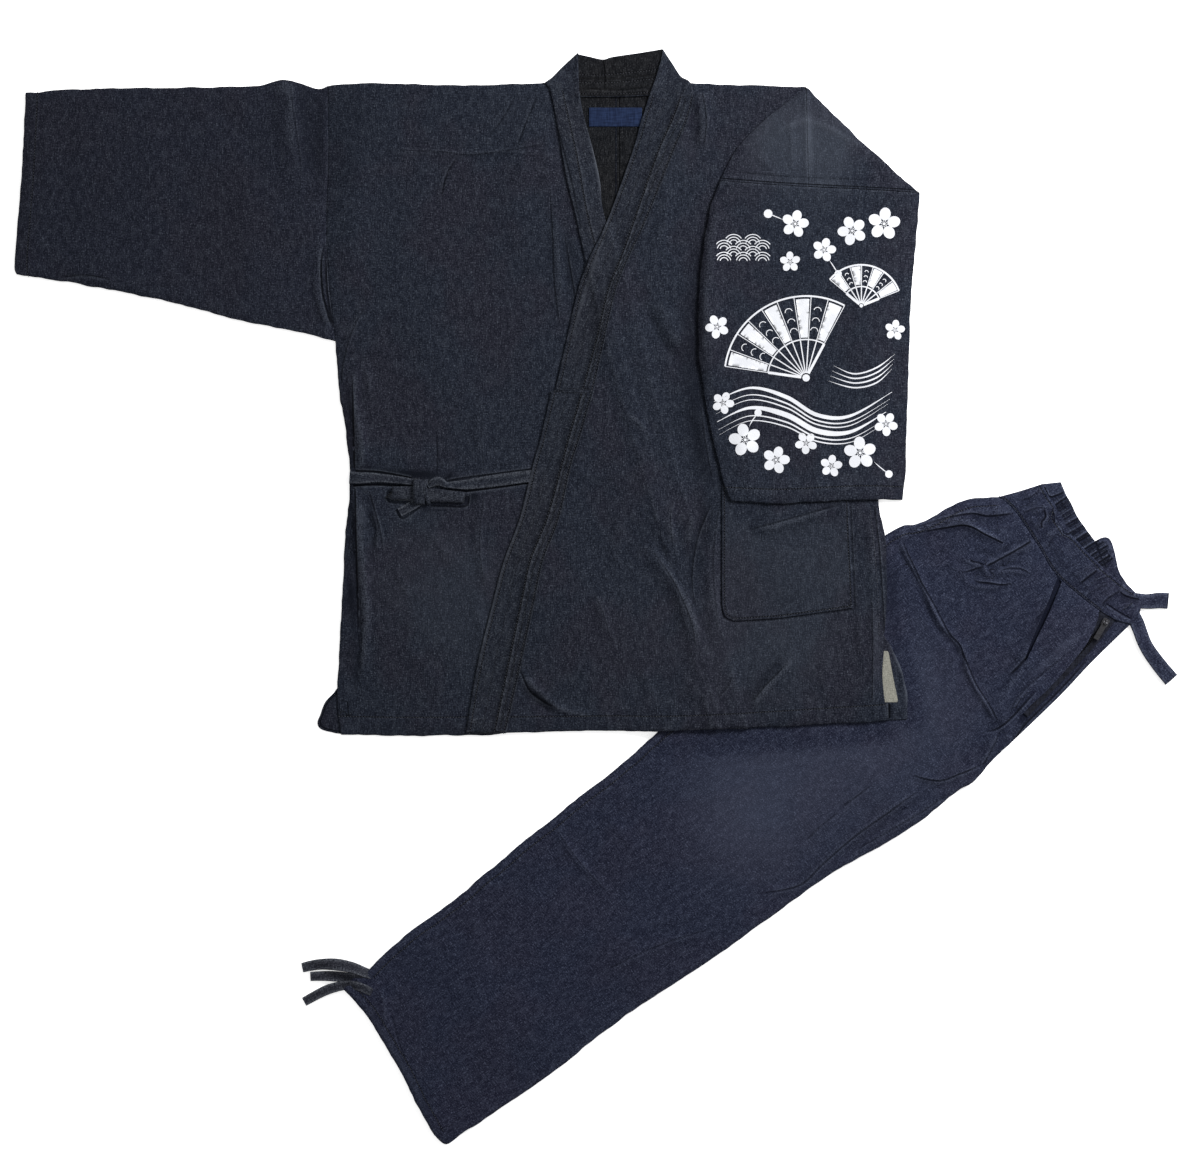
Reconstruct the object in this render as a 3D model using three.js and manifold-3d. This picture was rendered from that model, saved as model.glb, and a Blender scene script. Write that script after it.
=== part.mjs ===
import * as THREE from "three";
import { mergeVertices } from "three/addons/utils/BufferGeometryUtils.js";
import Module from "manifold-3d";

// A samue laid flat on a table: the jacket spread out with its right sleeve folded down over the front,
// and under its lower right corner the trousers, folded in half with one leg on the other.
// Millimetres, +Z up, the table at z = 0, +X to the right and +Y towards the collar.

// Driving dimensions
const JACKET_LENGTH = 745;
const WALL = 1.2;
const BAND_WALL = 2.4;
const TAPE_WALL = 1;
const GAP = 0.3;
const TUBE_HOLLOW = 0.5;
const LARGEST_HOLLOW = 3.8;
const FOLDED_LAYERS = 3;
const FOLDED_LAYER_HEIGHT = 1.8;
const DRAPE_SLOPE = 0.36;
const CELL = 22;

// Places are columns and rows on the photograph's grid, and the jacket's length gives one unit's real size.
const SHOULDER_ROW = 83;
const HEM_ROW = 731;
const UNIT = JACKET_LENGTH / (HEM_ROW - SHOULDER_ROW);
const CENTRE = { column: 596, row: 596.5 };
const FIELD = { left: -735, right: 735, bottom: -693, top: 693 };
const CURVE_STEP = 5;
const CURVE_TOLERANCE = 0.6;
const HIDDEN_TOLERANCE = 1.2;

const at = ([column, row]) =>
  new THREE.Vector2((column - CENTRE.column) * UNIT, (CENTRE.row - row) * UNIT);

// Edges: a straight one keeps its corners, a curve runs smoothly through its points
function straight(...places) {
  return places.map(at);
}

function segmentDistance(x, y, from, to) {
  const length = from.distanceToSquared(to) || 1;
  const along = ((x - from.x) * (to.x - from.x) + (y - from.y) * (to.y - from.y)) / length;
  const share = Math.min(1, Math.max(0, along));
  return Math.hypot(x - from.x - share * (to.x - from.x), y - from.y - share * (to.y - from.y));
}

// Keeps only the points that a line needs to stay within the tolerance of its curve
function thinned(points, tolerance = CURVE_TOLERANCE) {
  if (points.length < 3) return points;
  const from = points[0];
  const to = points.at(-1);
  const away = points.map((point) => segmentDistance(point.x, point.y, from, to));
  const farthest = away.indexOf(Math.max(...away));
  if (away[farthest] < tolerance) return [from, to];
  const first = thinned(points.slice(0, farthest + 1), tolerance);
  return [...first.slice(0, -1), ...thinned(points.slice(farthest), tolerance)];
}

function smooth(points) {
  const line = new THREE.SplineCurve(points);
  return thinned(line.getSpacedPoints(Math.max(2, Math.round(line.getLength() / CURVE_STEP))));
}

const curve = (...places) => smooth(places.map(at));

const reversed = (edge) => [...edge].reverse();
const shifted = (edge, x, y) => edge.map((point) => new THREE.Vector2(point.x + x, point.y + y));

const LEFT_SLEEVE = {
  fold: curve([25, 92], [100, 88], [180, 87], [250, 85.5], [287, 79.5], [316, 88], [327, 85.5]),
  cuff: curve([25, 92], [21, 175], [14.3, 258], [16, 274]),
  underarm: curve([16, 274], [80, 284], [160, 299.5], [240, 320], [300, 332], [335, 341]),
  armhole: curve([327, 85.5], [328, 150], [326, 220], [328, 280], [335, 341]),
};

const RIGHT_SLEEVE = {
  seam: curve([720, 181], [765, 184.5], [808, 187], [870, 190], [920, 193]),
  inner: curve([720, 181], [708, 217], [700, 280], [698, 342], [703, 389], [719, 467], [731, 501]),
  outer: curve([920, 193], [917, 233], [912, 296], [909, 374], [906, 470], [903, 500]),
  cuff: curve([731, 501], [781, 503], [859, 499.5], [903, 500]),
};

const BODY = {
  shoulderLeft: curve([327, 85.5], [350, 83], [400, 83], [450, 84.5], [500, 83.5], [545, 82]),
  shoulderRight: curve([692, 82.5], [740, 84.5], [780, 86], [806, 86]),
  diagonal: curve([806, 86], [840, 120], [880, 157.5], [920, 193]),
  sideLeft: curve([335, 341], [338, 385], [347, 441], [349, 488], [344, 551], [340.5, 620], [337, 688]),
  flareLeft: curve([337, 688], [325, 703], [320, 714], [317, 725], [326, 732], [346, 735]),
  slitLeft: curve([337, 688], [338, 712], [341, 735]),
  sideRight: curve([882, 345], [878, 430], [879, 501], [885, 536], [886.5, 590], [883.5, 635]),
  frontSlitRight: curve([883.5, 635], [885.5, 650], [883, 675], [888, 720]),
  backSlitRight: curve([883.5, 635], [898, 660], [906, 690], [907, 719]),
  hemLeft: curve([346, 735], [401, 736], [475, 735.5], [516, 733], [567, 731], [616, 731]),
  hemRight: curve([616, 731], [657, 731], [718, 729], [846, 723], [888, 720]),
};

const CENTRE_SEAM = 616;

// The collar band, a row for each section: its free edge, the middle stitching and the seam to the front
const COLLAR_OVER_UPPER = [
  { row: 96, free: 649, stitch: 681, seam: 695 },
  { row: 121, free: 641, stitch: 671, seam: 688 },
  { row: 152, free: 632, stitch: 657.5, seam: 674 },
  { row: 218, free: 608, stitch: 634.5, seam: 648 },
  { row: 259, free: 589, stitch: 620, seam: 629 },
  { row: 289, free: 578, stitch: 608, seam: 617 },
  { row: 340, free: 566.5, stitch: 596, seam: 605 },
  { row: 391, free: 555, stitch: 582, seam: 594 },
];

const COLLAR_OVER_LOWER = [
  { row: 391, free: 551, stitch: 582, seam: 594 },
  { row: 436, free: 541, stitch: 569, seam: 581 },
  { row: 468, free: 532, stitch: 560.5, seam: 571 },
  { row: 517, free: 520, stitch: 547, seam: 560 },
  { row: 560, free: 504, stitch: 530, seam: 544 },
  { row: 597, free: 494, stitch: 522, seam: 536 },
  { row: 667, free: 477, stitch: 507.5, seam: 521 },
  { row: 733.5, free: 466, stitch: 494, seam: 506 },
];

const COLLAR_UNDER = [
  { row: 89, free: 579, stitch: 562, seam: 550 },
  { row: 112, free: 583, stitch: 567, seam: 555 },
  { row: 153, free: 594, stitch: 576, seam: 562 },
  { row: 181, free: 600, stitch: 581, seam: 567 },
  { row: 218, free: 605, stitch: 588, seam: 576 },
  { row: 289, free: 630, stitch: 606, seam: 592 },
  { row: 391, free: 655, stitch: 632, seam: 618 },
  { row: 560, free: 705, stitch: 680, seam: 668 },
  { row: 728.5, free: 748, stitch: 722, seam: 710 },
];

// The trousers: their upper edge is the folded side seams, their lower edge the rise and the inseams
const TROUSERS = {
  side: curve([367, 972], [402, 938], [458, 897], [511, 852], [581, 796], [627, 760], [659, 731],
    [770, 634], [885, 536], [920, 523], [964, 501], [998, 497]),
  bandTop: curve([998, 497], [1020, 491], [1042, 484]),
  waistBack: straight([1042, 484], [1061, 482], [1066, 494]),
  elastic: curve([1066, 494], [1080, 519], [1095, 541]),
  waistPeak: curve([1095, 541], [1110, 539], [1121, 573], [1135, 592]),
  tip: straight([1135, 592], [1143, 601], [1140, 613], [1131, 624]),
  rise: curve([1131, 624], [1092, 662], [1060, 696], [1010, 744]),
  inseam: curve([1010, 744], [993, 760], [975, 781], [958, 791], [931, 813], [893, 839], [832, 873],
    [791, 902], [711, 960], [624, 1017], [562, 1065], [527, 1091], [460, 1135]),
  corner: curve([460, 1135], [446, 1144.5], [434, 1135]),
  hem: curve([434, 1135], [420, 1111], [394, 1060], [361, 1009], [343, 989]),
  hemTip: straight([343, 989], [352, 979], [367, 972]),
  waistSeam: curve([1002, 498.5], [1017, 514], [1038, 546], [1058, 577], [1099, 611]),
  fly: curve([1099, 611], [1075, 633], [1050, 656], [1025, 680], [1008, 703], [1004, 722], [1010, 744]),
  bandEdge: curve([1042, 484], [1045, 506], [1059, 522], [1070, 533], [1103, 568], [1135, 592]),
};

// Broad folds, a row for each: where its crest runs, how far its foot lies from the crest, and its height,
// in millimetres
const FOLDS = {
  leftSleeve: [
    { from: [287, 78], to: [297, 215], foot: 30, height: 2.9 },
    { from: [322, 235], to: [328, 325], foot: 16, height: 1.8 },
  ],
  leftFront: [
    { from: [357, 360], to: [351, 690], foot: 14, height: 2.4 },
    { from: [372, 508], to: [382, 566], foot: 16, height: 1.6 },
    { from: [345, 120], to: [352, 300], foot: 28, height: 1.8 },
    { from: [520, 110], to: [505, 250], foot: 38, height: 1.6 },
  ],
  rightFront: [
    { from: [790, 652], to: [742, 716], foot: 23, height: 2.6 },
    { from: [505, 704], to: [615, 722], foot: 19, height: 2.2 },
    { from: [700, 90], to: [704, 160], foot: 19, height: 1.8 },
    { from: [745, 530], to: [840, 505], foot: 24, height: 1.6 },
    { from: [870, 520], to: [872, 710], foot: 18, height: 1.6 },
  ],
  rightSleeve: [
    { from: [716, 205], to: [712, 455], foot: 30, height: 2.6 },
    { from: [806, 90], to: [808, 250], foot: 18, height: 1.2 },
  ],
  rightShoulder: [
    { from: [745, 150], to: [728, 300], foot: 35, height: 3 },
    { from: [715, 240], to: [716, 450], foot: 28, height: 3.2 },
  ],
  leg: [
    { from: [902, 545], to: [1001, 712], foot: 16, height: 1.4 },
    { from: [930, 526], to: [1005, 541], foot: 18, height: 2.4 },
    { from: [982, 568], to: [1030, 543], foot: 16, height: 1.6 },
    { from: [1048, 590], to: [1012, 672], foot: 16, height: 1.6 },
    { from: [978, 762], to: [864, 828], foot: 18, height: 2.4 },
    { from: [864, 828], to: [735, 905], foot: 21, height: 1.8 },
    { from: [554, 827], to: [608, 894], foot: 21, height: 1.2 },
    { from: [620, 775], to: [420, 945], foot: 21, height: 1.3 },
  ],
};

// The back waistband is gathered by its elastic
const GATHERS = { count: 17, height: 1.5, from: [1052, 488], to: [1112, 572], width: 27, share: 0.4, sides: 8 };

// The heights of every sheet are kept on one shared lattice, so that sheets can't cross
const NODES_ACROSS = Math.ceil((FIELD.right - FIELD.left) / CELL) + 1;
const NODES_UP = Math.ceil((FIELD.top - FIELD.bottom) / CELL) + 1;
const PLANE_TOLERANCE = 1e-6;
const LARGEST_BLOCK = 16;
const nodeX = (i) => FIELD.left + i * CELL;
const nodeY = (j) => FIELD.bottom + j * CELL;

function heights(value) {
  const field = new Float64Array(NODES_ACROSS * NODES_UP);
  for (let j = 0; j < NODES_UP; j += 1) {
    for (let i = 0; i < NODES_ACROSS; i += 1) {
      field[j * NODES_ACROSS + i] = value(nodeX(i), nodeY(j), j * NODES_ACROSS + i);
    }
  }
  return field;
}

function outlineDistance(x, y, outline) {
  return outline.reduce((least, point, k) =>
    Math.min(least, segmentDistance(x, y, point, outline[(k + 1) % outline.length])), Infinity);
}

function isInside(x, y, outline) {
  let inside = false;
  outline.forEach((point, k) => {
    const next = outline[(k + 1) % outline.length];
    const crosses = (point.y > y) !== (next.y > y);
    if (crosses && x < point.x + ((next.x - point.x) * (y - point.y)) / (next.y - point.y)) {
      inside = !inside;
    }
  });
  return inside;
}

function foldHeight(folds, x, y) {
  return folds.reduce((sum, fold) => {
    const away = Math.min(1, segmentDistance(x, y, at(fold.from), at(fold.to)) / fold.foot);
    return sum + (fold.height * (1 + Math.cos(Math.PI * away))) / 2;
  }, 0);
}

// A sheet rests on the tops of the sheets it lies on, and slopes down to the table beside them
const sheets = {};

function restingHeight(lyingOn) {
  const support = heights((x, y, k) =>
    Math.max(0, ...lyingOn.map((name) => (sheets[name].reach[k] ? sheets[name].top[k] + GAP : 0))));
  let changed = true;
  while (changed) {
    changed = false;
    for (let j = 0; j < NODES_UP; j += 1) {
      for (let i = 0; i < NODES_ACROSS; i += 1) {
        const near = [[1, 0], [-1, 0], [0, 1], [0, -1]]
          .filter(([di, dj]) => i + di >= 0 && i + di < NODES_ACROSS && j + dj >= 0 && j + dj < NODES_UP)
          .map(([di, dj]) => support[(j + dj) * NODES_ACROSS + i + di] - DRAPE_SLOPE * CELL);
        const least = Math.max(...near);
        if (least > support[j * NODES_ACROSS + i] + 1e-6) {
          support[j * NODES_ACROSS + i] = least;
          changed = true;
        }
      }
    }
  }
  return support;
}

function closeTo(outline) {
  return heights((x, y) =>
    (isInside(x, y, outline) || outlineDistance(x, y, outline) < Math.SQRT2 * CELL ? 1 : 0));
}

// Solids
const wasm = await Module();
wasm.setup();

function solidOf(geometry) {
  geometry.deleteAttribute("normal");
  geometry.deleteAttribute("uv");
  const merged = mergeVertices(geometry, 1e-5);
  return new wasm.Manifold(new wasm.Mesh({
    numProp: 3,
    vertProperties: new Float32Array(merged.attributes.position.array),
    triVerts: new Uint32Array(merged.index.array),
  }));
}

const NEAREST_POINTS = 0.6;

function tidyOutline(points) {
  const kept = points.filter((point, k) => k === 0 || point.distanceTo(points[k - 1]) > NEAREST_POINTS);
  return kept[0].distanceTo(kept[kept.length - 1]) > NEAREST_POINTS ? kept : kept.slice(0, -1);
}

const outlineOf = (...edges) => tidyOutline(edges.flat());

const BELOW_ALL = -2;
const ABOVE_ALL = 60;

function prism(outline, low = BELOW_ALL, high = ABOVE_ALL) {
  const shape = new THREE.Shape(outline);
  const geometry = new THREE.ExtrudeGeometry(shape, { depth: high - low, bevelEnabled: false });
  geometry.translate(0, 0, low);
  return solidOf(geometry);
}

// Splits a rectangle of lattice cells into the largest square blocks over which the heights lie in a plane
function planeBlocks(field, low, high) {
  const height = (i, j) => field[j * NODES_ACROSS + i];
  const isPlane = (i, j, size) => {
    const origin = height(i, j);
    const slopeX = (height(i + size, j) - origin) / size;
    const slopeY = (height(i, j + size) - origin) / size;
    for (let n = 0; n <= size; n += 1) {
      for (let m = 0; m <= size; m += 1) {
        if (Math.abs(height(i + m, j + n) - origin - m * slopeX - n * slopeY) > PLANE_TOLERANCE) return false;
      }
    }
    return true;
  };
  const blocks = [];
  const split = (i, j, size) => {
    const isOutside = i + size <= low.i || i >= high.i || j + size <= low.j || j >= high.j;
    if (isOutside) return;
    const isWithin = i > low.i && j > low.j && i + size < high.i && j + size < high.j;
    if (size === 1 || (isWithin && isPlane(i, j, size))) {
      blocks.push({ i, j, size });
      return;
    }
    const half = size / 2;
    [[0, 0], [half, 0], [0, half], [half, half]].forEach(([di, dj]) => split(i + di, j + dj, half));
  };
  for (let j = low.j - (low.j % LARGEST_BLOCK); j < high.j; j += LARGEST_BLOCK) {
    for (let i = low.i - (low.i % LARGEST_BLOCK); i < high.i; i += LARGEST_BLOCK) split(i, j, LARGEST_BLOCK);
  }
  return blocks;
}

// Triangles over a height field's blocks, each block joined to every corner of its neighbours on its rim
function blockSurface(field, low, high) {
  const blocks = planeBlocks(field, low, high);
  const corners = new Set();
  blocks.forEach(({ i, j, size }) => {
    [[i, j], [i + size, j], [i + size, j + size], [i, j + size]].forEach(([m, n]) => corners.add(`${m},${n}`));
  });
  const points = [];
  const triangles = [];
  const numbers = new Map();
  const numberOf = (i, j) => {
    const key = `${i},${j}`;
    if (!numbers.has(key)) {
      numbers.set(key, points.length);
      points.push([nodeX(i), nodeY(j), field[j * NODES_ACROSS + i]]);
    }
    return numbers.get(key);
  };
  for (const { i, j, size } of blocks) {
    const rim = [];
    for (let m = 0; m < size; m += 1) rim.push([i + m, j]);
    for (let m = 0; m < size; m += 1) rim.push([i + size, j + m]);
    for (let m = size; m > 0; m -= 1) rim.push([i + m, j + size]);
    for (let m = size; m > 0; m -= 1) rim.push([i, j + m]);
    const kept = rim.filter(([m, n]) => corners.has(`${m},${n}`)).map(([m, n]) => numberOf(m, n));
    if (kept.length === 4) {
      triangles.push([kept[0], kept[1], kept[2]], [kept[0], kept[2], kept[3]]);
    } else {
      const middle = points.length;
      const half = size / 2;
      points.push([nodeX(i + half), nodeY(j + half),
        (field[j * NODES_ACROSS + i] + field[(j + size) * NODES_ACROSS + i + size]) / 2]);
      kept.forEach((node, k) => triangles.push([node, kept[(k + 1) % kept.length], middle]));
    }
  }
  return { points, triangles, numberOf };
}

// The space between two height fields, over the lattice cells round an outline
function between(bottom, top, outline) {
  const box = new THREE.Box2().setFromPoints(outline);
  const low = {
    i: Math.floor((box.min.x - FIELD.left) / CELL) - 1,
    j: Math.floor((box.min.y - FIELD.bottom) / CELL) - 1,
  };
  const high = {
    i: Math.ceil((box.max.x - FIELD.left) / CELL) + 1,
    j: Math.ceil((box.max.y - FIELD.bottom) / CELL) + 1,
  };
  const under = blockSurface(bottom, low, high);
  const over = blockSurface(top, low, high);
  const shift = under.points.length;
  const faces = [
    ...under.triangles.flatMap(([a, b, c]) => [a, c, b]),
    ...over.triangles.flatMap(([a, b, c]) => [a + shift, b + shift, c + shift]),
  ];
  const rim = [];
  for (let i = low.i; i < high.i; i += 1) rim.push([i, low.j]);
  for (let j = low.j; j < high.j; j += 1) rim.push([high.i, j]);
  for (let i = high.i; i > low.i; i -= 1) rim.push([i, high.j]);
  for (let j = high.j; j > low.j; j -= 1) rim.push([low.i, j]);
  rim.forEach((node, k) => {
    const next = rim[(k + 1) % rim.length];
    const [a, b] = [under.numberOf(...node), under.numberOf(...next)];
    const [c, d] = [over.numberOf(...node) + shift, over.numberOf(...next) + shift];
    faces.push(a, b, d, a, d, c);
  });
  return new wasm.Manifold(new wasm.Mesh({
    numProp: 3,
    vertProperties: new Float32Array([...under.points, ...over.points].flat()),
    triVerts: new Uint32Array(faces),
  }));
}

const cut = (outline, bottom, top) => prism(outline).intersect(between(bottom, top, outline));
const raised = (field, by) => field.map((height) => height + by);

// Materials
const DENIM = { color: 0x2b2f3b, roughness: 0.92, metalness: 0 };
const TROUSER_DENIM = { color: 0x272b40, roughness: 0.92, metalness: 0 };
const LABEL_CLOTH = { color: 0x2a4a8a, roughness: 0.7, metalness: 0 };
const ZIP_METAL = { color: 0xb9b6ad, roughness: 0.35, metalness: 0.9 };

const samue = new THREE.Group();

function addMesh(name, solid, finish) {
  const mesh = solid.getMesh();
  const geometry = new THREE.BufferGeometry();
  geometry.setAttribute("position", new THREE.BufferAttribute(mesh.vertProperties, 3));
  geometry.setIndex(new THREE.BufferAttribute(mesh.triVerts, 1));
  geometry.computeVertexNormals();
  const piece = new THREE.Mesh(geometry, new THREE.MeshStandardMaterial(finish));
  piece.name = name;
  samue.add(piece);
}

// Works out where a sheet lies, and keeps its top for the sheets that lie on it
function lay(name, outline, { on = [], folds = [], wall = WALL, lift = () => 0 }) {
  const resting = restingHeight(on);
  const bottom = heights((x, y, k) => resting[k] + foldHeight(folds, x, y) + lift(x, y));
  const top = raised(bottom, wall);
  sheets[name] = { bottom, top, outline, reach: closeTo(outline) };
  return sheets[name];
}

function addSheet(name, outline, options, finish = DENIM) {
  const sheet = lay(name, outline, options);
  addMesh(name, cut(outline, sheet.bottom, sheet.top), finish);
}

// A strap or tape along a line, with its width in millimetres at both ends
function strip(line, startWidth, endWidth = startWidth) {
  const sides = { left: [], right: [] };
  line.forEach((point, k) => {
    const before = line[Math.max(0, k - 1)];
    const after = line[Math.min(line.length - 1, k + 1)];
    const heading = new THREE.Vector2().subVectors(after, before).normalize();
    const share = k / (line.length - 1);
    const half = (startWidth + share * (endWidth - startWidth)) / 2;
    sides.left.push(new THREE.Vector2(point.x - heading.y * half, point.y + heading.x * half));
    sides.right.push(new THREE.Vector2(point.x + heading.y * half, point.y - heading.x * half));
  });
  return outlineOf(sides.left, reversed(sides.right));
}

// Moves a closed outline inwards
function inset(outline, distance) {
  const turn = Math.sign(THREE.ShapeUtils.area(outline));
  return outline.map((point, k) => {
    const before = outline[(k + outline.length - 1) % outline.length];
    const after = outline[(k + 1) % outline.length];
    const heading = new THREE.Vector2().subVectors(after, before).normalize();
    return new THREE.Vector2(point.x - turn * heading.y * distance, point.y + turn * heading.x * distance);
  });
}

// Trousers
const LEG_LAYERS = { insets: [2.2, 0.9, 2.8], bevel: 0.5, lap: 0.05 };

function addLegLayers() {
  const outline = outlineOf(TROUSERS.side, TROUSERS.bandTop, TROUSERS.waistBack, TROUSERS.elastic,
    TROUSERS.waistPeak, TROUSERS.tip, TROUSERS.rise, TROUSERS.inseam, TROUSERS.corner, TROUSERS.hem,
    TROUSERS.hemTip);
  const { bevel, lap, insets } = LEG_LAYERS;
  const plain = thinned([...outline, outline[0]], HIDDEN_TOLERANCE).slice(0, -1);
  const layers = insets.map((layerInset, k) => {
    const low = k === 0 ? 0 : k * FOLDED_LAYER_HEIGHT - lap;
    const geometry = new THREE.ExtrudeGeometry(new THREE.Shape(inset(plain, layerInset)), {
      depth: (k + 1) * FOLDED_LAYER_HEIGHT - low - 2 * bevel,
      bevelThickness: bevel,
      bevelSize: bevel,
      bevelOffset: -bevel,
      bevelSegments: 1,
    });
    geometry.translate(0, 0, low + bevel);
    return solidOf(geometry);
  });
  const solid = layers.reduce((pile, layer) => pile.add(layer));
  const height = FOLDED_LAYERS * FOLDED_LAYER_HEIGHT;
  sheets.leg_layers = { top: heights(() => height), outline, reach: closeTo(outline) };
  addMesh("leg_layers", solid, TROUSER_DENIM);
}

// The gathers are narrower than a lattice cell, so they are rounded ribs on the band's level top
function addBackWaistband() {
  const outline = outlineOf(TROUSERS.waistBack, TROUSERS.elastic, TROUSERS.waistPeak,
    straight([1135, 592], [1100, 602], [1066, 566], [1030, 520], [1042, 484]));
  const band = lay("waistband_back", outline, { on: ["leg_layers"] });
  const bandTop = FOLDED_LAYERS * FOLDED_LAYER_HEIGHT + GAP + WALL;
  const from = at(GATHERS.from);
  const to = at(GATHERS.to);
  const ribRadius = (GATHERS.share * from.distanceTo(to)) / GATHERS.count;
  const crosswise = Math.atan2(to.y - from.y, to.x - from.x);
  const ribSpace = cut(inset(outline, 1), raised(band.bottom, 0.2), raised(band.top, GATHERS.height));
  let solid = cut(outline, band.bottom, band.top);
  for (let k = 0; k < GATHERS.count; k += 1) {
    const centre = new THREE.Vector2().lerpVectors(from, to, (k + 0.5) / GATHERS.count);
    const rib = new THREE.CylinderGeometry(ribRadius, ribRadius, GATHERS.width, GATHERS.sides);
    rib.scale(1, 1, GATHERS.height / ribRadius);
    rib.rotateZ(crosswise);
    rib.translate(centre.x, centre.y, bandTop);
    solid = solid.add(solidOf(rib).intersect(ribSpace));
  }
  band.top = raised(band.top, GATHERS.height);
  addMesh("waistband_back", solid, TROUSER_DENIM);
}

function addWaistTies() {
  const upper = strip(curve([1122, 601], [1140, 601], [1169, 601]), 18);
  addSheet("waist_tie_upper", upper, { on: ["leg_layers", "waistband_back"], wall: TAPE_WALL }, TROUSER_DENIM);
  const lower = strip(curve([1124, 606], [1137, 622], [1146, 645], [1160, 665], [1173, 680]), 17);
  addSheet("waist_tie_lower", lower,
    { on: ["leg_layers", "waistband_back", "waist_tie_upper", "fly_underlap"], wall: TAPE_WALL }, TROUSER_DENIM);
}

const HEM_TIES = [
  { name: "hem_tie_upper", line: curve([378, 976], [356, 966], [332, 962], [301, 968]) },
  { name: "hem_tie_middle", line: curve([376, 982], [345, 976], [309, 976]) },
  { name: "hem_tie_lower", line: curve([372, 992], [350, 983], [326, 989], [304, 1002]) },
];
const HEM_TIE_WIDTH = 9.5;

function addHemTies() {
  const on = ["leg_layers"];
  for (const tie of HEM_TIES) {
    addSheet(tie.name, strip(tie.line, HEM_TIE_WIDTH), { on: [...on], wall: TAPE_WALL }, TROUSER_DENIM);
    on.push(tie.name);
  }
}

const POCKET_SLASH = { line: [[1058, 583], [1046, 611], [1034, 638], [1025, 658]], width: 3.4 };

function addLegFront() {
  const outline = outlineOf(TROUSERS.side, straight([998, 497], [1001.5, 499]), TROUSERS.waistSeam,
    TROUSERS.fly, TROUSERS.inseam, TROUSERS.corner, TROUSERS.hem, TROUSERS.hemTip);
  const under = ["leg_layers", "fly_underlap", "zip_tape", "pocket_facing", ...HEM_TIES.map((tie) => tie.name)];
  const leg = lay("leg_front", outline, { on: under, folds: FOLDS.leg });
  const slash = prism(strip(straight(...POCKET_SLASH.line), POCKET_SLASH.width));
  addMesh("leg_front", cut(outline, leg.bottom, leg.top).subtract(slash), TROUSER_DENIM);
}

function addFrontWaistband() {
  const outline = outlineOf(straight([998.5, 496.5]), shifted(TROUSERS.waistSeam, GAP, GAP),
    straight([1115, 620], [1131, 624], [1140, 613], [1143, 601]),
    reversed(TROUSERS.bandEdge), reversed(TROUSERS.bandTop).slice(0, -1));
  addSheet("waistband_front", outline,
    { on: ["leg_layers", "waistband_back", "fly_underlap", "zip_tape", "waist_tie_upper", "waist_tie_lower"] },
    TROUSER_DENIM);
}

// The zip's slider sits at the top of the fly, and its pull tab hangs from the bridge
const ZIP = {
  place: [1104.5, 622.5],
  towards: [1090, 648],
  body: { length: 10, width: 8, height: 2.6 },
  bridge: { length: 7, width: 2, top: 6, hole: { length: 4, low: 2.9, high: 4.9 } },
  pin: { radius: 0.6, height: 3.9 },
  pull: { arm: 4.5, length: 22, width: 6, eye: 4, thickness: 1.2, droop: THREE.MathUtils.degToRad(5) },
};

function roundedRectangle(x0, x1, width, radius) {
  const y = width / 2;
  const shape = new THREE.Shape();
  shape.moveTo(x0 + radius, -y);
  shape.lineTo(x1 - radius, -y);
  shape.absarc(x1 - radius, -y + radius, radius, -Math.PI / 2, 0);
  shape.absarc(x1 - radius, y - radius, radius, 0, Math.PI / 2);
  shape.absarc(x0 + radius, y - radius, radius, Math.PI / 2, Math.PI);
  shape.absarc(x0 + radius, -y + radius, radius, Math.PI, 1.5 * Math.PI);
  return shape;
}

function plate(shape, low, high) {
  const geometry = new THREE.ExtrudeGeometry(shape, { depth: high - low, bevelEnabled: false, curveSegments: 2 });
  geometry.translate(0, 0, low);
  return geometry;
}

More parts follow.
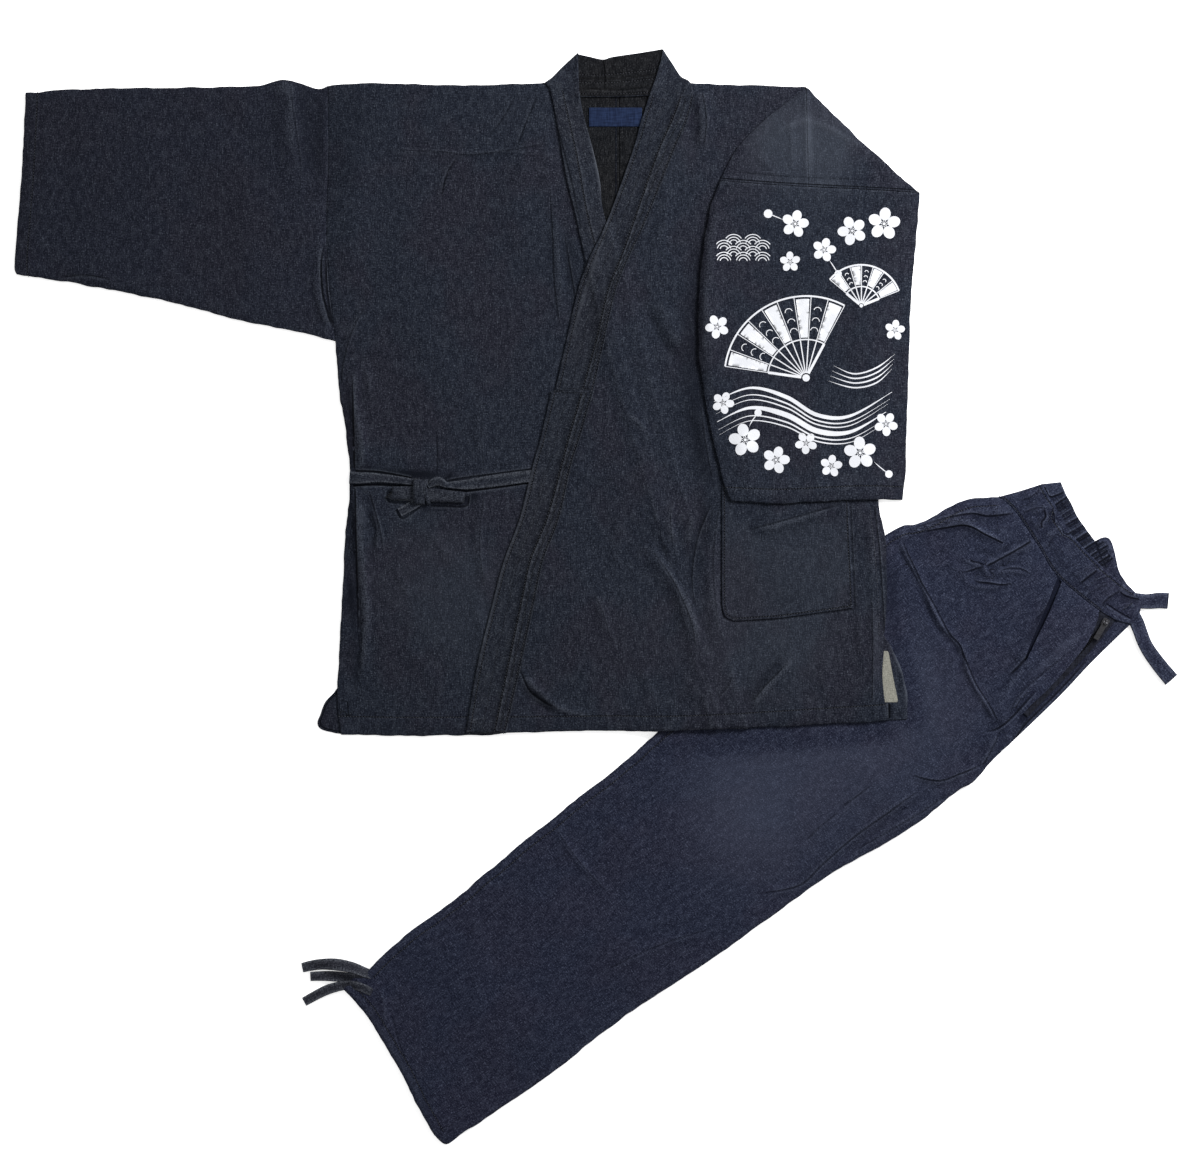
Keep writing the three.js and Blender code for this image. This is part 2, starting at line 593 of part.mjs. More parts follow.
function addZip() {
  const start = at(ZIP.place);
  const heading = new THREE.Vector2().subVectors(at(ZIP.towards), start);
  const turn = Math.atan2(heading.y, heading.x);
  const tape = sheets.zip_tape;
  const base = Math.max(...tape.top.filter((height, k) => tape.reach[k])) + GAP;
  const place = new THREE.Matrix4().makeRotationZ(turn).setPosition(start.x, start.y, base);
  const { body, bridge, pin, pull } = ZIP;

  const bodyPlate = plate(roundedRectangle(-body.length / 2, body.length / 2, body.width, 2), 0, body.height);
  const arch = new THREE.Shape();
  arch.moveTo(-bridge.length / 2, body.height - 0.4);
  arch.lineTo(bridge.length / 2, body.height - 0.4);
  arch.lineTo(bridge.hole.length / 2 + 0.4, bridge.top);
  arch.lineTo(-bridge.hole.length / 2 - 0.4, bridge.top);
  const gap = new THREE.Path();
  gap.moveTo(-bridge.hole.length / 2, bridge.hole.low);
  gap.lineTo(-bridge.hole.length / 2, bridge.hole.high);
  gap.lineTo(bridge.hole.length / 2, bridge.hole.high);
  gap.lineTo(bridge.hole.length / 2, bridge.hole.low);
  arch.holes.push(gap);
  const archPlate = plate(arch, -bridge.width / 2, bridge.width / 2);
  archPlate.rotateX(Math.PI / 2);
  const slider = solidOf(bodyPlate.applyMatrix4(place)).add(solidOf(archPlate.applyMatrix4(place)));
  addMesh("zip_slider", slider, ZIP_METAL);

  const rest = place.clone()
    .multiply(new THREE.Matrix4().makeTranslation(0, 0, pin.height))
    .multiply(new THREE.Matrix4().makeRotationY(pull.droop));
  const pinBar = new THREE.CylinderGeometry(pin.radius, pin.radius, pull.width, 8);
  const tab = roundedRectangle(-pull.thickness / 2, pull.length, pull.width, 0.5);
  const tabPlate = plate(tab, -pull.thickness / 2, pull.thickness / 2);
  const eye = plate(roundedRectangle(-pull.thickness, pull.arm, pull.eye, 0.5), -2, 2);
  const pullSolid = solidOf(tabPlate.applyMatrix4(rest))
    .subtract(solidOf(eye.applyMatrix4(rest)))
    .add(solidOf(pinBar.applyMatrix4(rest)));
  addMesh("zip_pull", pullSolid, ZIP_METAL);
}

// Jacket
const NECKLINE = straight([545, 82], [CENTRE_SEAM, 84]);
const TROUSER_PILE = ["leg_layers", "leg_front"];
const BACKS = ["back_left", "back_right_flat"];

const columnEdge = (sections, column) => curve(...sections.map((section) => [section[column], section.row]));

// A sleeve's hollow stays clear of its two folded sides and runs out past both open ends
const FOLD_THICKNESS = 1.5 * WALL;
const PAST_OPEN_END = 12;

function tubeHollow(sideA, sideB) {
  const sides = [sideA, sideB].map((side, k) => {
    const other = k === 0 ? sideB : sideA;
    const middle = side[Math.floor(side.length / 2)];
    const across = new THREE.Vector2().subVectors(other[Math.floor(other.length / 2)], middle);
    const moved = side.map((point, n) => {
      const before = side[Math.max(0, n - 1)];
      const after = side[Math.min(side.length - 1, n + 1)];
      const heading = new THREE.Vector2().subVectors(after, before).normalize();
      const sign = Math.sign(heading.x * across.y - heading.y * across.x);
      const inwards = new THREE.Vector2(-heading.y, heading.x).multiplyScalar(sign * FOLD_THICKNESS);
      return inwards.add(point);
    });
    const beyond = (end, next) => new THREE.Vector2().subVectors(end, next).setLength(PAST_OPEN_END).add(end);
    return [beyond(moved[0], moved[1]), ...moved, beyond(moved.at(-1), moved.at(-2))];
  });
  return outlineOf(sides[0], reversed(sides[1]));
}

// A sleeve is one piece of cloth, so it is a flattened tube, open at the cuff and at the armhole
function addSleeve(name, { sideA, sideB, startEnd, finishEnd, on, lowerFolds = [], upperFolds }) {
  const outline = outlineOf(sideA, finishEnd, reversed(sideB), reversed(startEnd));
  const lower = lay(name, outline, { on, folds: lowerFolds });
  const hollow = heights((x, y) => Math.min(LARGEST_HOLLOW, TUBE_HOLLOW + foldHeight(upperFolds, x, y)));
  const top = lower.top.map((height, k) => height + hollow[k] + WALL);
  const inside = cut(tubeHollow(sideA, sideB), lower.top, raised(top, -WALL));
  lower.top = top;
  addMesh(name, cut(outline, lower.bottom, top).subtract(inside), DENIM);
  return lower;
}

function addBackLeft() {
  const outline = outlineOf(BODY.shoulderLeft, shifted(NECKLINE, -GAP, 0),
    shifted(straight([CENTRE_SEAM, 84], [CENTRE_SEAM, HEM_ROW]), -GAP, 0),
    reversed(BODY.hemLeft), reversed(BODY.flareLeft), reversed(BODY.sideLeft), reversed(LEFT_SLEEVE.armhole));
  addSheet("back_left", outline, { on: TROUSER_PILE });
}

function backRightOutline() {
  return outlineOf(straight([CENTRE_SEAM, 84], [692, 82.5]), BODY.shoulderRight, BODY.diagonal,
    curve([920, 193], [903, 250], [882, 345]), BODY.sideRight, BODY.backSlitRight,
    reversed(BODY.hemRight), straight([CENTRE_SEAM, HEM_ROW]));
}

// The right shoulder is folded so that the sleeve hangs down over the front: a triangle of the front and one
// of the back lie on top, and are joined to the flat panels along their folds
const SHOULDER_FOLD = {
  front: [straight([805, 88.5], [766, 118]), curve([766, 118], [737, 148], [720, 180.5])],
  frontSeam: curve([720, 180.5], [765, 184], [807.5, 186.5]),
  backSeam: curve([808.2, 186.5], [870, 189.5], [919, 192.6]),
};

function addFoldedPanels(sleeve) {
  const upper = { bottom: raised(sleeve.top, -WALL), top: sleeve.top };
  const frontFold = SHOULDER_FOLD.front.flat();
  const frontOutline = outlineOf(frontFold, SHOULDER_FOLD.frontSeam, straight([807.5, 186.5], [805.6, 90]));
  const frontWall = strip(shifted(tidyOutline(frontFold), 0.8, -0.8), 1.6);
  const frontFlat = sheets.front_right;
  const front = cut(frontFlat.outline, frontFlat.bottom, frontFlat.top)
    .add(cut(frontWall, raised(frontFlat.top, -0.4), upper.top).intersect(prism(frontOutline)))
    .add(cut(frontOutline, upper.bottom, upper.top));
  addMesh("front_right", front, DENIM);

  const backOutline = outlineOf(straight([806, 86], [808.2, 186.5]), SHOULDER_FOLD.backSeam,
    reversed(BODY.diagonal));
  const backWall = strip(shifted(BODY.diagonal, -0.55, -0.55), WALL);
  const backFlat = sheets.back_right_flat;
  const back = cut(backFlat.outline, backFlat.bottom, backFlat.top)
    .add(cut(backWall, raised(backFlat.top, -0.4), upper.top).intersect(prism(backOutline)))
    .add(cut(backOutline, upper.bottom, upper.top));
  addMesh("back_right", back, DENIM);
}

function addBackCollar() {
  const outline = outlineOf(
    curve([577, 53], [590, 56], [603, 58.6], [613, 56], [640, 52], [661, 48.5]),
    straight([661, 48.5], [665, 60], [660, 80], [653, 95]),
    curve([653, 95], [616, 96.5], [577, 96.5]), straight([577, 96.5], [575, 74]));
  addSheet("collar_back", outline, { on: BACKS, wall: BAND_WALL });
  const label = straight([589, 107], [642, 107], [642, 125], [589, 125]);
  addSheet("neck_label", label, { on: BACKS, wall: TAPE_WALL }, LABEL_CLOTH);
}

function addFrontLeft() {
  const outline = outlineOf(BODY.shoulderLeft, straight([545, 82], [563, 82]),
    columnEdge(COLLAR_UNDER, "stitch"), curve([722, 728.7], [657, 731], [616, 731]),
    reversed(BODY.hemLeft), straight([341, 735]), reversed(BODY.slitLeft), reversed(BODY.sideLeft),
    reversed(LEFT_SLEEVE.armhole));
  addSheet("front_left", outline, { on: [...BACKS, ...TROUSER_PILE, "collar_back"], folds: FOLDS.leftFront });
}

function addUnderCollar() {
  const outline = outlineOf(curve([545, 82], [553, 76], [562, 66.5], [578, 52]),
    columnEdge(COLLAR_UNDER, "free"), reversed(columnEdge(COLLAR_UNDER, "seam")));
  addSheet("collar_left", outline,
    { on: [...BACKS, ...TROUSER_PILE, "collar_back", "neck_label", "front_left"], wall: BAND_WALL });
}

const FRONT_PILE = [...BACKS, ...TROUSER_PILE, "collar_back", "neck_label", "front_left", "collar_left"];

function layFrontRight() {
  const outline = outlineOf(straight([687, 82]), BODY.shoulderRight.slice(0, -1),
    shifted(BODY.diagonal, -1.6, -1.6), curve([916, 200], [901, 250], [881.5, 345]),
    BODY.sideRight, BODY.frontSlitRight, reversed(BODY.hemRight), curve([616, 731], [567, 731], [494, 733.5]),
    reversed(columnEdge(COLLAR_OVER_LOWER, "stitch")), reversed(columnEdge(COLLAR_OVER_UPPER, "stitch")));
  lay("front_right", outline, { on: FRONT_PILE, folds: FOLDS.rightFront });
}

function addPocket() {
  const outline = outlineOf(straight([722, 484], [722, 603]), curve([722, 603], [725, 616], [735, 621]),
    straight([735, 621], [780, 618], [853, 608], [849, 505], [847, 484]));
  addSheet("pocket", outline, { on: ["front_right"] });
}

function addOverCollar() {
  const on = [...FRONT_PILE, "front_right", "tie_strap_right"];
  const upper = outlineOf(curve([649, 96], [656, 76], [662, 59], [665, 50.5]),
    curve([665, 50.5], [674, 64], [681, 75], [693, 82], [695, 96]),
    columnEdge(COLLAR_OVER_UPPER, "seam"), reversed(columnEdge(COLLAR_OVER_UPPER, "free")));
  addSheet("collar_right_upper", upper, { on, wall: BAND_WALL });
  const lower = shifted(outlineOf(columnEdge(COLLAR_OVER_LOWER, "free"),
    reversed(columnEdge(COLLAR_OVER_LOWER, "seam"))), 0, -GAP);
  addSheet("collar_right_lower", lower, { on, wall: BAND_WALL });
}

const TIE = {
  strapLeft: outlineOf(curve([350, 471], [375, 473], [395, 476], [418, 480]),
    curve([418, 484.3], [385, 481.5], [365, 480.5], [350, 484])),
  strapRight: outlineOf(curve([538, 469], [500, 473.5], [464, 480], [449, 482]),
    curve([449, 487.3], [469, 490.5], [490, 487], [538, 481])),
  loopLeft: outlineOf(straight([390, 486.5], [418, 486], [418, 500], [391, 499.5])),
  loopTop: outlineOf(curve([425, 482], [438, 477], [448.5, 481.5]), straight([448.3, 486.4], [425, 486.4])),
  loopRight: outlineOf(curve([425, 487.5], [450, 488.2], [466.5, 491.5]),
    straight([463.5, 502.5], [425, 502.5])),
  tail: outlineOf(straight([418, 499], [412, 502], [399, 504], [397, 508], [402, 516], [414, 508.5], [423, 500])),
  loopWall: 2.6,
  knot: { from: [413.5, 479], to: [429, 504], corner: 5, height: 6, bevel: 2 },
};

function knotOutline(grow = 0) {
  const { from, to, corner } = TIE.knot;
  const low = at([from[0], to[1]]);
  const high = at([to[0], from[1]]);
  const shape = roundedRectangle(low.x - grow, high.x + grow, high.y - low.y + 2 * grow, corner);
  return shape.getPoints(3).map((point) => new THREE.Vector2(point.x, point.y + (low.y + high.y) / 2));
}

function knotSolid() {
  const { height, bevel } = TIE.knot;
  const frontTop = sheets.front_left.top;
  const under = closeTo(knotOutline());
  const base = Math.max(...frontTop.filter((top, k) => under[k])) + GAP;
  const geometry = new THREE.ExtrudeGeometry(new THREE.Shape(knotOutline()), {
    depth: height - 2 * bevel,
    bevelThickness: bevel,
    bevelSize: bevel,
    bevelOffset: -bevel,
    bevelSegments: 1,
  });
  geometry.translate(0, 0, base + bevel);
  return solidOf(geometry);
}

// The straps end at the bow, whose knot joins its three loops and its tail
function addTie() {
  const clearance = prism(tidyOutline(knotOutline(GAP)));
  for (const [name, outline] of [["tie_strap_left", TIE.strapLeft], ["tie_strap_right", TIE.strapRight]]) {
    const strap = lay(name, outline, { on: ["front_left"] });
    addMesh(name, cut(outline, strap.bottom, strap.top).subtract(clearance), DENIM);
  }
  const loops = [TIE.loopLeft, TIE.loopTop, TIE.loopRight].map((outline) => ({ outline, wall: TIE.loopWall }));
  const bow = [...loops, { outline: TIE.tail, wall: WALL }].reduce((solid, { outline, wall }) => {
    const loop = lay("tie_bow", outline, { on: ["front_left"], wall });
    return solid.add(cut(outline, loop.bottom, loop.top));
  }, knotSolid());
  addMesh("tie_bow", bow, DENIM);
}

function addTrousers() {
  addLegLayers();
  addBackWaistband();
  addSheet("fly_underlap",
    outlineOf(TROUSERS.rise, straight([1010, 744], [996, 716], [1086, 606], [1131, 624])),
    { on: ["leg_layers"] }, TROUSER_DENIM);
  addSheet("zip_tape", strip(curve([1112, 612], [1092, 638], [1062, 670], [1022, 712]), 23),
    { on: ["fly_underlap", "leg_layers"], wall: TAPE_WALL }, TROUSER_DENIM);
  addSheet("pocket_facing", strip(curve([1062, 576], [1046, 609], [1022, 662]), 40, 26),
    { on: ["leg_layers"], wall: TAPE_WALL }, TROUSER_DENIM);
  addHemTies();
  addLegFront();
  addWaistTies();
  addFrontWaistband();
  addZip();
}

function addJacket() {
  addBackLeft();
  lay("back_right_flat", backRightOutline(), { on: TROUSER_PILE });
  addBackCollar();
  addSleeve("sleeve_left", {
    sideA: LEFT_SLEEVE.fold,
    sideB: LEFT_SLEEVE.underarm,
    startEnd: LEFT_SLEEVE.cuff,
    finishEnd: shifted(LEFT_SLEEVE.armhole, -GAP, 0),
    on: [],
    upperFolds: FOLDS.leftSleeve,
  });
  addFrontLeft();
  addUnderCollar();
  layFrontRight();
  addPocket();
  addTie();
  addOverCollar();
  const rightSleeve = addSleeve("sleeve_right", {
    sideA: RIGHT_SLEEVE.inner,
    sideB: RIGHT_SLEEVE.outer,
    startEnd: shifted(RIGHT_SLEEVE.seam, 0, -GAP),
    finishEnd: RIGHT_SLEEVE.cuff,
    on: [...BACKS, "front_right", "pocket"],
    lowerFolds: FOLDS.rightShoulder,
    upperFolds: FOLDS.rightSleeve,
  });
  addFoldedPanels(rightSleeve);
}

addTrousers();
addJacket();

// The origin is the middle of the underside
const box = new THREE.Box3().setFromObject(samue);
const middle = box.getCenter(new THREE.Vector3());
samue.position.set(-middle.x, -middle.y, -box.min.z);

export default samue;
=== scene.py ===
import math

import bpy
import numpy as np
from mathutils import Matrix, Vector
from mathutils.geometry import delaunay_2d_cdt


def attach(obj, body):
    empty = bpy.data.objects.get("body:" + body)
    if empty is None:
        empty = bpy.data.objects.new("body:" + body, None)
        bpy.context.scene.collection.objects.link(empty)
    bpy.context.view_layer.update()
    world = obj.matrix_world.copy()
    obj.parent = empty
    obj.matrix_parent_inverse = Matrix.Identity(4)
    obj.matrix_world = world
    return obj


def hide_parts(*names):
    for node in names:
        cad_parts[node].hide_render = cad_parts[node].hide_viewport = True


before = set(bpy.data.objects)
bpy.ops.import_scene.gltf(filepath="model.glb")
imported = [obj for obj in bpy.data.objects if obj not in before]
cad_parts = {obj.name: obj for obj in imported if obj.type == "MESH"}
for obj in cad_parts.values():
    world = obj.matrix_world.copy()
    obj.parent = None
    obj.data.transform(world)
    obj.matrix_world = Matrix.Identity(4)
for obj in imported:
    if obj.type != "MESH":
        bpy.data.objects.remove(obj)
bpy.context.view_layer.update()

# Sizes are in millimetres until a mesh is made. Places are columns and rows on the photograph's grid.
UNIT = 745 / 648  # of one column or row, from the jacket's length
CENTRE = (596.0, 596.5)
SHIFT = (-0.52, -0.04)
WALL = 1.2  # thickness of the denim, and below of the collar, and of the tape and the pocket's facing
BAND_WALL = 1.8
TAPE_WALL = 1.0
GAP = 0.3  # between a sheet and what it rests on
LAYER = 1.8  # height of each hidden layer of the trousers
TROUSER_ANGLE = math.radians(37 - 90)
RELIEF = 1.4  # all creases are made higher by this share
STEP = 2.0  # between the points of an outline
CLOSE = 0.7  # points of an outline that are nearer than this become one
FRAY = 0.55  # how far a free edge wavers
INK_LIFT = 0.32  # of the print over the cloth
SOFT_ENDS = (0.3, 0.3)  # the shares of its line over which a crease fades, unless its row says otherwise
SHORT_ENDS = (0.15, 0.15)  # the same for a sharp fold

# What a material reads at each vertex, and its value away from every seam and fold
FAR_SEAM, FAR_FOLD = 30.0, 15.0
NEXT_SEAM = 977.0  # how far apart the puckers of two seams start, so that they differ
UNMARKED = {"seam": FAR_SEAM, "seam_along": 0.0, "fold": FAR_FOLD, "fold_depth": 0.0, "wear": 0.0, "pale": -FAR_SEAM,
            "shade": 0.0}

# The grid of the height fields
CELL = 2.0
LOW = (-716.0, -676.0)
HIGH = (716.0, 676.0)
NX = int((HIGH[0] - LOW[0]) / CELL) + 1
NY = int((HIGH[1] - LOW[1]) / CELL) + 1
GRID_X, GRID_Y = np.meshgrid(LOW[0] + CELL * np.arange(NX), LOW[1] + CELL * np.arange(NY))


def read_places(text):
    """Places in a text: numbers with commas between them, and a space after each place. Other words are left out."""
    return [tuple(map(float, word.split(","))) for word in text.split() if "," in word]


def read_rows(text):
    """Rows of a table: a row's figures, as a/b where its two sides or ends differ, then the places of its line."""
    rows = []
    for line in text.strip().split("\n"):
        figures = [(*map(float, word.split("/")),) * 2 for word in line.split() if "," not in word]
        rows.append((read_places(line), *[pair[:2] for pair in figures]))
    return rows


def read_table(text):
    """Rows by piece: the piece's name has a line to itself, above its rows."""
    table = {}
    for line in text.strip().split("\n"):
        if " " in line:
            table[name] += read_rows(line)
        else:
            name = line
            table[name] = []
    return table


def at(places):
    """Places on the photograph's grid in millimetres. They are given as numbers, or as a text."""
    p = np.array(read_places(places) if isinstance(places, str) else places, float).reshape(-1, 2)
    return np.stack([(p[:, 0] - CENTRE[0]) * UNIT + SHIFT[0], (CENTRE[1] - p[:, 1]) * UNIT + SHIFT[1]], 1)


def length_of(line):
    return np.linalg.norm(np.diff(line, axis=0), axis=1).sum()


def resample(points, spacing):
    """The line with even steps of about the spacing."""
    steps = np.linalg.norm(np.diff(points, axis=0), axis=1)
    along = np.concatenate([[0], np.cumsum(steps)])
    count = max(2, int(round(along[-1] / spacing)) + 1)
    s = np.linspace(0, along[-1], count)
    return np.stack([np.interp(s, along, points[:, k]) for k in range(points.shape[1])], 1)


def spline(points, spacing=STEP):
    """A curve through the points (Catmull-Rom), evenly resampled."""
    p = np.asarray(points, float)
    if len(p) < 3:
        return resample(p, spacing)
    out = []
    last = len(p) - 1
    t = np.linspace(0, 1, 24, endpoint=False)[:, None]
    for k in range(last):
        p0, p1, p2, p3 = p[max(k - 1, 0)], p[k], p[k + 1], p[min(k + 2, last)]
        m1, m2 = (p2 - p0) / 2, (p3 - p1) / 2
        out.append((2 * t**3 - 3 * t**2 + 1) * p1 + (t**3 - 2 * t**2 + t) * m1
                   + (-2 * t**3 + 3 * t**2) * p2 + (t**3 - t**2) * m2)
    return resample(np.concatenate([*out, p[-1:]]), spacing)


def curve(*places):
    """A smooth curve through places, which are numbers or one text."""
    return spline(at(places[0] if len(places) == 1 else places))


def straight(*places):
    """Straight stretches from place to place."""
    p = at(places[0] if len(places) == 1 else places)
    return np.concatenate([resample(p[k:k + 2], STEP) for k in range(len(p) - 1)]) if len(p) > 1 else p


def signed_area(ring):
    q = np.roll(ring, -1, 0)
    return (ring[:, 0] * q[:, 1] - q[:, 0] * ring[:, 1]).sum() / 2


def area_of(ring):
    return abs(signed_area(ring))


def outline(*edges):
    """A closed ring of points, counterclockwise, from edges that follow each other."""
    p = np.concatenate(edges)
    keep = [0]
    for k in range(1, len(p)):
        if np.hypot(*(p[k] - p[keep[-1]])) > CLOSE:
            keep.append(k)
    if np.hypot(*(p[keep[-1]] - p[keep[0]])) < CLOSE:
        keep.pop()
    p = p[keep]
    return p if signed_area(p) > 0 else p[::-1].copy()


def headings(line, closed=False):
    """The unit heading at each point of a line or ring, and the one to its left."""
    ahead = np.roll(line, -1, 0) - np.roll(line, 1, 0) if closed else np.gradient(line, axis=0)
    ahead = ahead / np.maximum(np.linalg.norm(ahead, axis=1, keepdims=True), 1e-9)
    return ahead, np.stack([-ahead[:, 1], ahead[:, 0]], 1)


def beside(line, distance):
    """The line moved to its left, seen along it."""
    return line + headings(line)[1] * distance


def inward(ring):
    """The unit heading into a counterclockwise ring, at each of its points."""
    return headings(ring, True)[1]


def frayed(line, seed):
    """A free edge, which wavers a little: its ends stay where they are."""
    rng = np.random.default_rng(seed)
    n = len(line)
    wave = np.zeros(n)
    for length, share in ((9, 0.6), (3, 0.4)):
        kernel = np.hanning(2 * length + 3)
        rough = np.convolve(rng.standard_normal(n + 4 * length + 8), kernel / np.sqrt((kernel**2).sum()), "same")
        wave += share * rough[2 * length + 4:2 * length + 4 + n]
    ends = np.clip(np.minimum(np.arange(n), np.arange(n)[::-1]) / 4, 0, 1)
    return beside(line, (FRAY * np.clip(wave, -1.5, 1.5) * ends)[:, None])


# Fields on the grid

def sample(field, x, y):
    """The field's value at places in millimetres, by its four nearest cells."""
    u = np.clip((x - LOW[0]) / CELL, 0, NX - 1.001)
    v = np.clip((y - LOW[1]) / CELL, 0, NY - 1.001)
    i, j = u.astype(int), v.astype(int)
    fu, fv = u - i, v - j
    return ((field[j, i] * (1 - fu) + field[j, i + 1] * fu) * (1 - fv)
            + (field[j + 1, i] * (1 - fu) + field[j + 1, i + 1] * fu) * fv)


def sampled(value, points):
    """A field's value at each point. A plain number stays as it is."""
    return sample(value, points[:, 0], points[:, 1]) if getattr(value, "ndim", 0) == 2 else value


def box_blur(field, radius, axis):
    """The mean over a window of so many cells each way."""
    r = max(1, int(round(radius)))
    pad = [(0, 0), (0, 0)]
    pad[axis] = (r + 1, r)
    sums = np.cumsum(np.pad(field, pad, mode="edge"), axis=axis)
    n = field.shape[axis]
    upper = np.take(sums, np.arange(2 * r + 1, 2 * r + 1 + n), axis=axis)
    lower = np.take(sums, np.arange(0, n), axis=axis)
    return (upper - lower) / (2 * r + 1)


def blur(field, sigma_x, sigma_y=None):
    """A soft blur, its widths in millimetres."""
    for axis, sigma in ((1, sigma_x), (0, sigma_x if sigma_y is None else sigma_y)):
        cells = sigma / CELL
        if cells >= 0.5:
            for _ in range(3):
                field = box_blur(field, max(1, cells * 0.94), axis)
    return field


def noise(seed, size_x, size_y=None):
    """Smooth seeded noise with a spread of one, and lumps of about the given sizes."""
    rng = np.random.default_rng(seed)
    field = blur(rng.standard_normal((NY, NX)), size_x, size_y)
    return (field - field.mean()) / field.std()


def turned(field, angle):
    """A field's pattern turned about the middle of the grid."""
    c, s = math.cos(angle), math.sin(angle)
    return sample(field, GRID_X * c + GRID_Y * s, -GRID_X * s + GRID_Y * c)


def crossings(ring, y):
    """Where a ring crosses the horizontal line at y, in order."""
    a, b = ring, np.roll(ring, -1, 0)
    cross = (a[:, 1] > y) != (b[:, 1] > y)
    return np.sort(a[cross, 0] + (b[cross, 0] - a[cross, 0]) * (y - a[cross, 1]) / (b[cross, 1] - a[cross, 1]))


def mask_of(ring):
    """Which cells of the grid are inside a ring."""
    inside = np.zeros((NY, NX), bool)
    for j in range(NY):
        xs = crossings(ring, LOW[1] + CELL * j)
        for x0, x1 in zip(xs[::2], xs[1::2]):
            first, last = int(np.ceil((x0 - LOW[0]) / CELL)), int(np.floor((x1 - LOW[0]) / CELL))
            inside[j, max(0, first):last + 1] = True
    return inside


def towards_line(x, y, line):
    """Distance to a line, its signed form, the length along it, and whether the nearest place is within its ends."""
    a, b = line[:-1], line[1:]
    d = b - a
    lengths = np.maximum(np.linalg.norm(d, axis=1), 1e-9)
    starts = np.concatenate([[0], np.cumsum(lengths)[:-1]])
    best = np.full(x.shape, 1e9)
    side = np.zeros(x.shape)
    along = np.zeros(x.shape)
    within = np.zeros(x.shape, bool)
    for k in range(len(a)):
        px, py = x - a[k, 0], y - a[k, 1]
        raw = (px * d[k, 0] + py * d[k, 1]) / lengths[k] ** 2
        t = np.clip(raw, 0, 1)
        dist = np.hypot(px - t * d[k, 0], py - t * d[k, 1])
        near = dist < best
        best = np.where(near, dist, best)
        side = np.where(near, np.sign(d[k, 0] * py - d[k, 1] * px), side)
        along = np.where(near, starts[k] + t * lengths[k], along)
        inner = (raw >= 0 if k == 0 else True) & (raw <= 1 if k == len(a) - 1 else True)
        within = np.where(near, inner, within)
    return best, side * best, along, within


def fading(share, ends, least):
    """How far a row has come up, from 0 to 1: it fades in and out over its ends' shares of its line."""
    return np.clip(share / max(ends[0], least), 0, 1) * np.clip((1 - share) / max(ends[1], least), 0, 1)


def creases(rows):
    """Soft ridges and troughs, a row for each: its line, its width on both sides, its height, and how it fades."""
    total = np.zeros((NY, NX))
    for row in rows:
        places, (left, right), (height, _), ends = (*row, SOFT_ENDS)[:4]
        line = spline(at(places), 6.0)
        reach = 3.2 * max(left, right)
        i0, j0 = (max(0, int(v)) for v in (line.min(0) - reach - LOW) / CELL)
        i1, j1 = (min(n, int(v) + 2) for n, v in zip((NX, NY), (line.max(0) + reach - LOW) / CELL))
        dist, signed, along, _ = towards_line(GRID_X[j0:j1, i0:i1], GRID_Y[j0:j1, i0:i1], line)
        share = along / length_of(line)
        fade = fading(share, ends, 1e-6)
        fade = fade * fade * (3 - 2 * fade)
        if ends[0] == 0:
            fade = np.where(share <= 0, 1.0, fade)
        width = np.where(signed > 0, left, right)
        total[j0:j1, i0:i1] += height * fade * np.exp(-(dist / width) ** 2)
    return total


def drape(support, slope=0.3, softness=4.0):
    """The height of a sheet that rests on a support: it bridges down from edges with a limited slope."""
    high = support.copy()
    for _ in range(22):
        before = high
        for dy in (-1, 0, 1):
            for dx in (-1, 0, 1):
                drop = slope * CELL * (0, 1, 1.414)[abs(dy) + abs(dx)]
                high = np.maximum(high, np.roll(before, (dy, dx), (0, 1)) - drop)
        if np.abs(high - before).max() < 1e-3:
            break
    return np.maximum(blur(high, softness), support)


# Meshes

def new_mesh(name, points, faces, smooth=True):
    """A mesh from points in millimetres."""
    mesh = bpy.data.meshes.new(name)
    mesh.from_pydata((np.array(points) * 0.001).tolist(), [], faces)
    if smooth:
        mesh.shade_smooth()
    return mesh


def new_piece(name, mesh, *materials):
    """Puts a mesh in the scene."""
    for material in materials:
        mesh.materials.append(material)
    piece = bpy.data.objects.new(name, mesh)
    bpy.context.scene.collection.objects.link(piece)
    return piece


def inside_row(ring, xs, y):
    """Which of the places at a height y are inside a ring."""
    return np.searchsorted(crossings(ring, y), xs) % 2 == 1


def filling(ring, spacing):
    """Points inside a ring on a hexagonal pattern, clear of the ring by a little over half a spacing."""
    clear = ring + inward(ring) * spacing * 0.62
    low, high = ring.min(0), ring.max(0)
    rows = []
    for n, y in enumerate(np.arange(low[1] + spacing / 2, high[1], spacing * 0.866)):
        xs = np.arange(low[0] + (spacing / 2 if n % 2 else 0), high[0], spacing)
        kept = xs[inside_row(clear, xs, y) & inside_row(ring, xs, y)]
        rows.append(np.stack([kept, np.full(len(kept), y)], 1))
    return np.concatenate(rows) if rows else np.zeros((0, 2))


